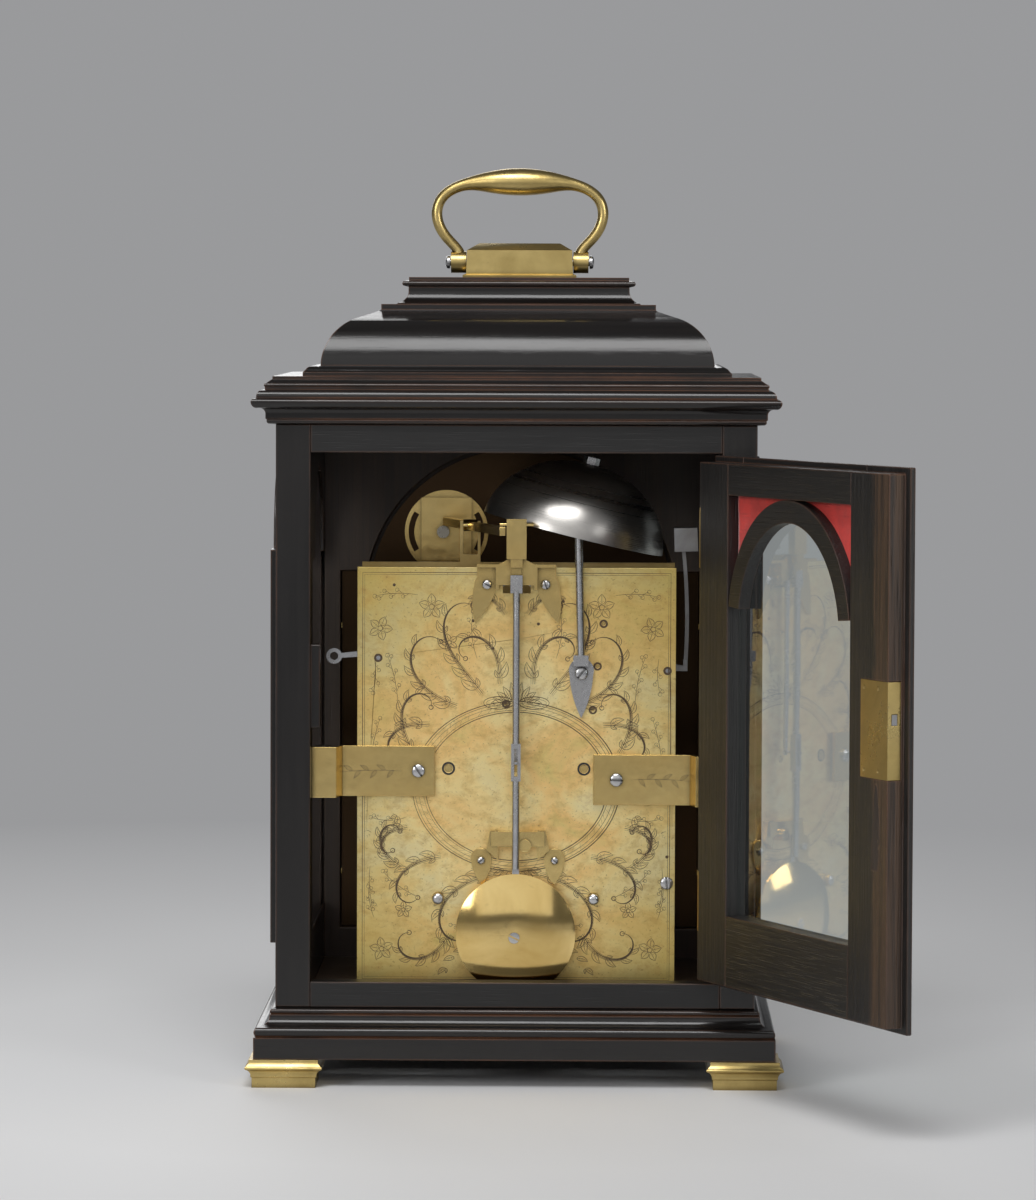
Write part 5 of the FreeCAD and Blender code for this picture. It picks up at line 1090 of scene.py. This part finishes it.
def dial_marks():
    """hours, half-hour marks, the minute track and the quarter track"""
    strokes = []
    for hour, text in enumerate(HOURS):
        strokes += numeral(text, 30.0 * hour)
        middle = 30.0 * hour + 15.0
        tip, foot = on_ring(middle, HALF_HOUR_TIP), on_ring(middle, HALF_HOUR_FOOT)
        for lean in (-1.4, 1.4):
            strokes.append(([foot, on_ring(middle + lean, HALF_HOUR_MIDDLE), tip], 0.5))
    for radius in RING_LINES:
        strokes.append((loop(*DIAL_CENTRE, radius, 1.0, 120), 0.22))
    for minute in range(60):
        weight = 0.9 if minute % 5 == 0 else 0.3
        strokes.append(([on_ring(6.0 * minute, radius) for radius in MINUTE_TICK], weight))
    for quarter in range(48):
        strokes.append(([on_ring(7.5 * quarter, radius) for radius in QUARTER_TICK], 0.24))
    return strokes


def small_ring_marks():
    """two circles on each small ring, and plain ticks between them"""
    strokes = []
    for name, first, last, count in SMALL_RINGS:
        centre = pivot(name)
        for radius in SMALL_RING_LINES:
            strokes.append((loop(*centre, radius, 1.0, 60), 0.2))
        for k in range(count):
            way = first + (last - first) * k / (count - 1)
            reach = LONG_TICK if k % 5 == 0 or count < 10 else SHORT_TICK
            strokes.append(([on_ring(way, SMALL_TICK, centre), on_ring(way, reach, centre)], 0.26))
    return strokes


drawing(
    "chapter_ring_marks", dial_marks(), facing_front(RING_FACE), BLACK_WAX, "silvered_brass", taper=False
)
drawing(
    "small_ring_marks", small_ring_marks(), facing_front(RING_FACE + SMALL_RING_STEP), BLACK_WAX,
    "silvered_brass", taper=False,
)


SPANDREL_ACROSS = 84.0
SPANDREL_CORNERS = ((74.0, 1.0), (242.0, -1.0))
ARCH_SCROLL = (2.0, 296.0)


def spandrels():
    """cast scrolls in the dial's four corners, and a small pair in the arch"""
    bm = bmesh.new()
    plane = facing_front(DIAL_FACE)
    for side in (-1.0, 1.0):
        for corner, lean in SPANDREL_CORNERS:
            start = (side * SPANDREL_ACROSS, corner)
            for turn in (-1.0, 1.0):
                way = 90.0 * lean if turn < 0 else (180.0 if side > 0 else 0.0)
                twist = turn * lean * side
                path = curl(start, way, 34.0, twist * 28.0, twist * 220.0, 26)
                lay(bm, plane, path, 3.0, 1.3, HALF_ROUND)
                branch = curl(path[9], way - twist * 40.0, 13.0, twist * 90.0, twist * 90.0, 14)
                lay(bm, plane, branch, 2.2, 1.1, HALF_ROUND)
            tilt = math.degrees(math.atan2(lean, -side))
            for spread in (-34.0, 0.0, 34.0):
                lobe = curl(start, tilt + spread, 12.0, spread * 0.4, 0.0, 10)
                lay(bm, plane, lobe, 3.0, 1.4, HALF_ROUND)
        foot = (side * ARCH_SCROLL[0], ARCH_SCROLL[1])
        scroll = curl(foot, 90.0 - side * 62.0, 30.0, side * -30.0, side * -190.0, 24)
        lay(bm, plane, scroll, 2.6, 1.2, HALF_ROUND)
    made("dial_spandrels", bm, CHASED, CASE, "brass", 60.0)


spandrels()

# ---- floor, light and camera

BACKDROP = (0.32, 0.322, 0.33, 1.0)
ROOM = (0.11, 0.112, 0.116, 1.0)
FLOOR_COLOUR = (0.74, 0.74, 0.745, 1.0)
FLOOR_RADIUS = 14.0
FLOOR_FADES = (0.35, 1.3)
LIGHT_AIM = Vector((0.0, 0.0, 0.22))
SOFT_BOXES = (
    ("top", (0.2, 1.3, 2.0), 1.3, 1.0, 30.0),
    ("left", (1.7, 2.2, 1.0), 0.9, 0.9, 20.0),
    ("right", (-1.9, 2.0, 0.9), 0.9, 0.9, 14.0),
    ("behind_camera", (0.1, 3.5, 1.3), 3.2, 1.9, 13.0),
    ("front", (0.6, -2.6, 1.3), 1.6, 1.6, 18.0),
)


def pale_floor():
    """a pale floor that runs into an even grey backdrop"""
    mesh = bpy.data.meshes.new("floor")
    bm = bmesh.new()
    bmesh.ops.create_circle(bm, cap_ends=True, radius=FLOOR_RADIUS, segments=64)
    bm.to_mesh(mesh)
    bm.free()
    floor = placed("floor", mesh)
    paint = Paint("pale_floor")
    paint.shader.inputs["Base Color"].default_value = FLOOR_COLOUR
    paint.shader.inputs["Roughness"].default_value = 0.7
    glow = paint.node("Emission", {"Color": BACKDROP})
    away = paint.span(paint.distance((0.0, 0.0, 0.0)), *FLOOR_FADES)
    ray = paint.node("LightPath")
    seen = paint.plus(ray.outputs["Is Camera Ray"], ray.outputs["Is Glossy Ray"], clamp=True)
    seen = paint.plus(seen, ray.outputs["Is Transmission Ray"], clamp=True)
    paint.cover(paint.times(away, seen), paint.shader, glow)
    mesh.materials.append(paint.material)


def dim_room():
    """a dim surround that looks like the backdrop when it is seen directly or through glass"""
    world = bpy.data.worlds.new("room")
    bpy.context.scene.world = world
    world.use_nodes = True
    tree = world.node_tree
    tree.nodes.clear()
    kinds = ("Background", "Background", "LightPath", "Math", "MixShader", "OutputWorld")
    room, wall, ray, either, blend, output = (tree.nodes.new(f"ShaderNode{kind}") for kind in kinds)
    room.inputs["Color"].default_value = ROOM
    wall.inputs["Color"].default_value = BACKDROP
    either.operation = "MAXIMUM"
    for source, socket in (
        (ray.outputs["Is Camera Ray"], either.inputs[0]),
        (ray.outputs["Is Transmission Ray"], either.inputs[1]),
        (either.outputs[0], blend.inputs[0]),
        (room.outputs[0], blend.inputs[1]),
        (wall.outputs[0], blend.inputs[2]),
        (blend.outputs[0], output.inputs["Surface"]),
    ):
        tree.links.new(source, socket)


def soft_boxes():
    """five soft boxes that aim at the middle of the case"""
    for name, place, wide, tall, power in SOFT_BOXES:
        light = bpy.data.lights.new(f"soft_box_{name}", "AREA")
        light.shape = "RECTANGLE"
        light.size = wide
        light.size_y = tall
        light.energy = power
        lamp = placed(light.name, light)
        lamp.location = place
        lamp.rotation_euler = (LIGHT_AIM - Vector(place)).to_track_quat("-Z", "Y").to_euler()


pale_floor()
dim_room()
soft_boxes()

CAMERA_PLACE = Vector((-0.0415, 2.738, 0.393))
CAMERA_TARGET = Vector((-0.001, 0.088, 0.245))
CAMERA_LENS = 159.0
SENSOR_WIDTH = 36.0
CAMERA_ROLL = 0.2


def camera():
    lens = bpy.data.cameras.new("camera")
    lens.lens = CAMERA_LENS
    lens.sensor_width = SENSOR_WIDTH
    eye = placed("camera", lens)
    eye.location = CAMERA_PLACE
    aim = (CAMERA_TARGET - CAMERA_PLACE).to_track_quat("-Z", "Y").to_matrix()
    eye.rotation_euler = (aim @ Matrix.Rotation(math.radians(CAMERA_ROLL), 3, "Z")).to_euler()
    bpy.context.scene.camera = eye


camera()
bpy.context.scene.view_settings.view_transform = "Standard"
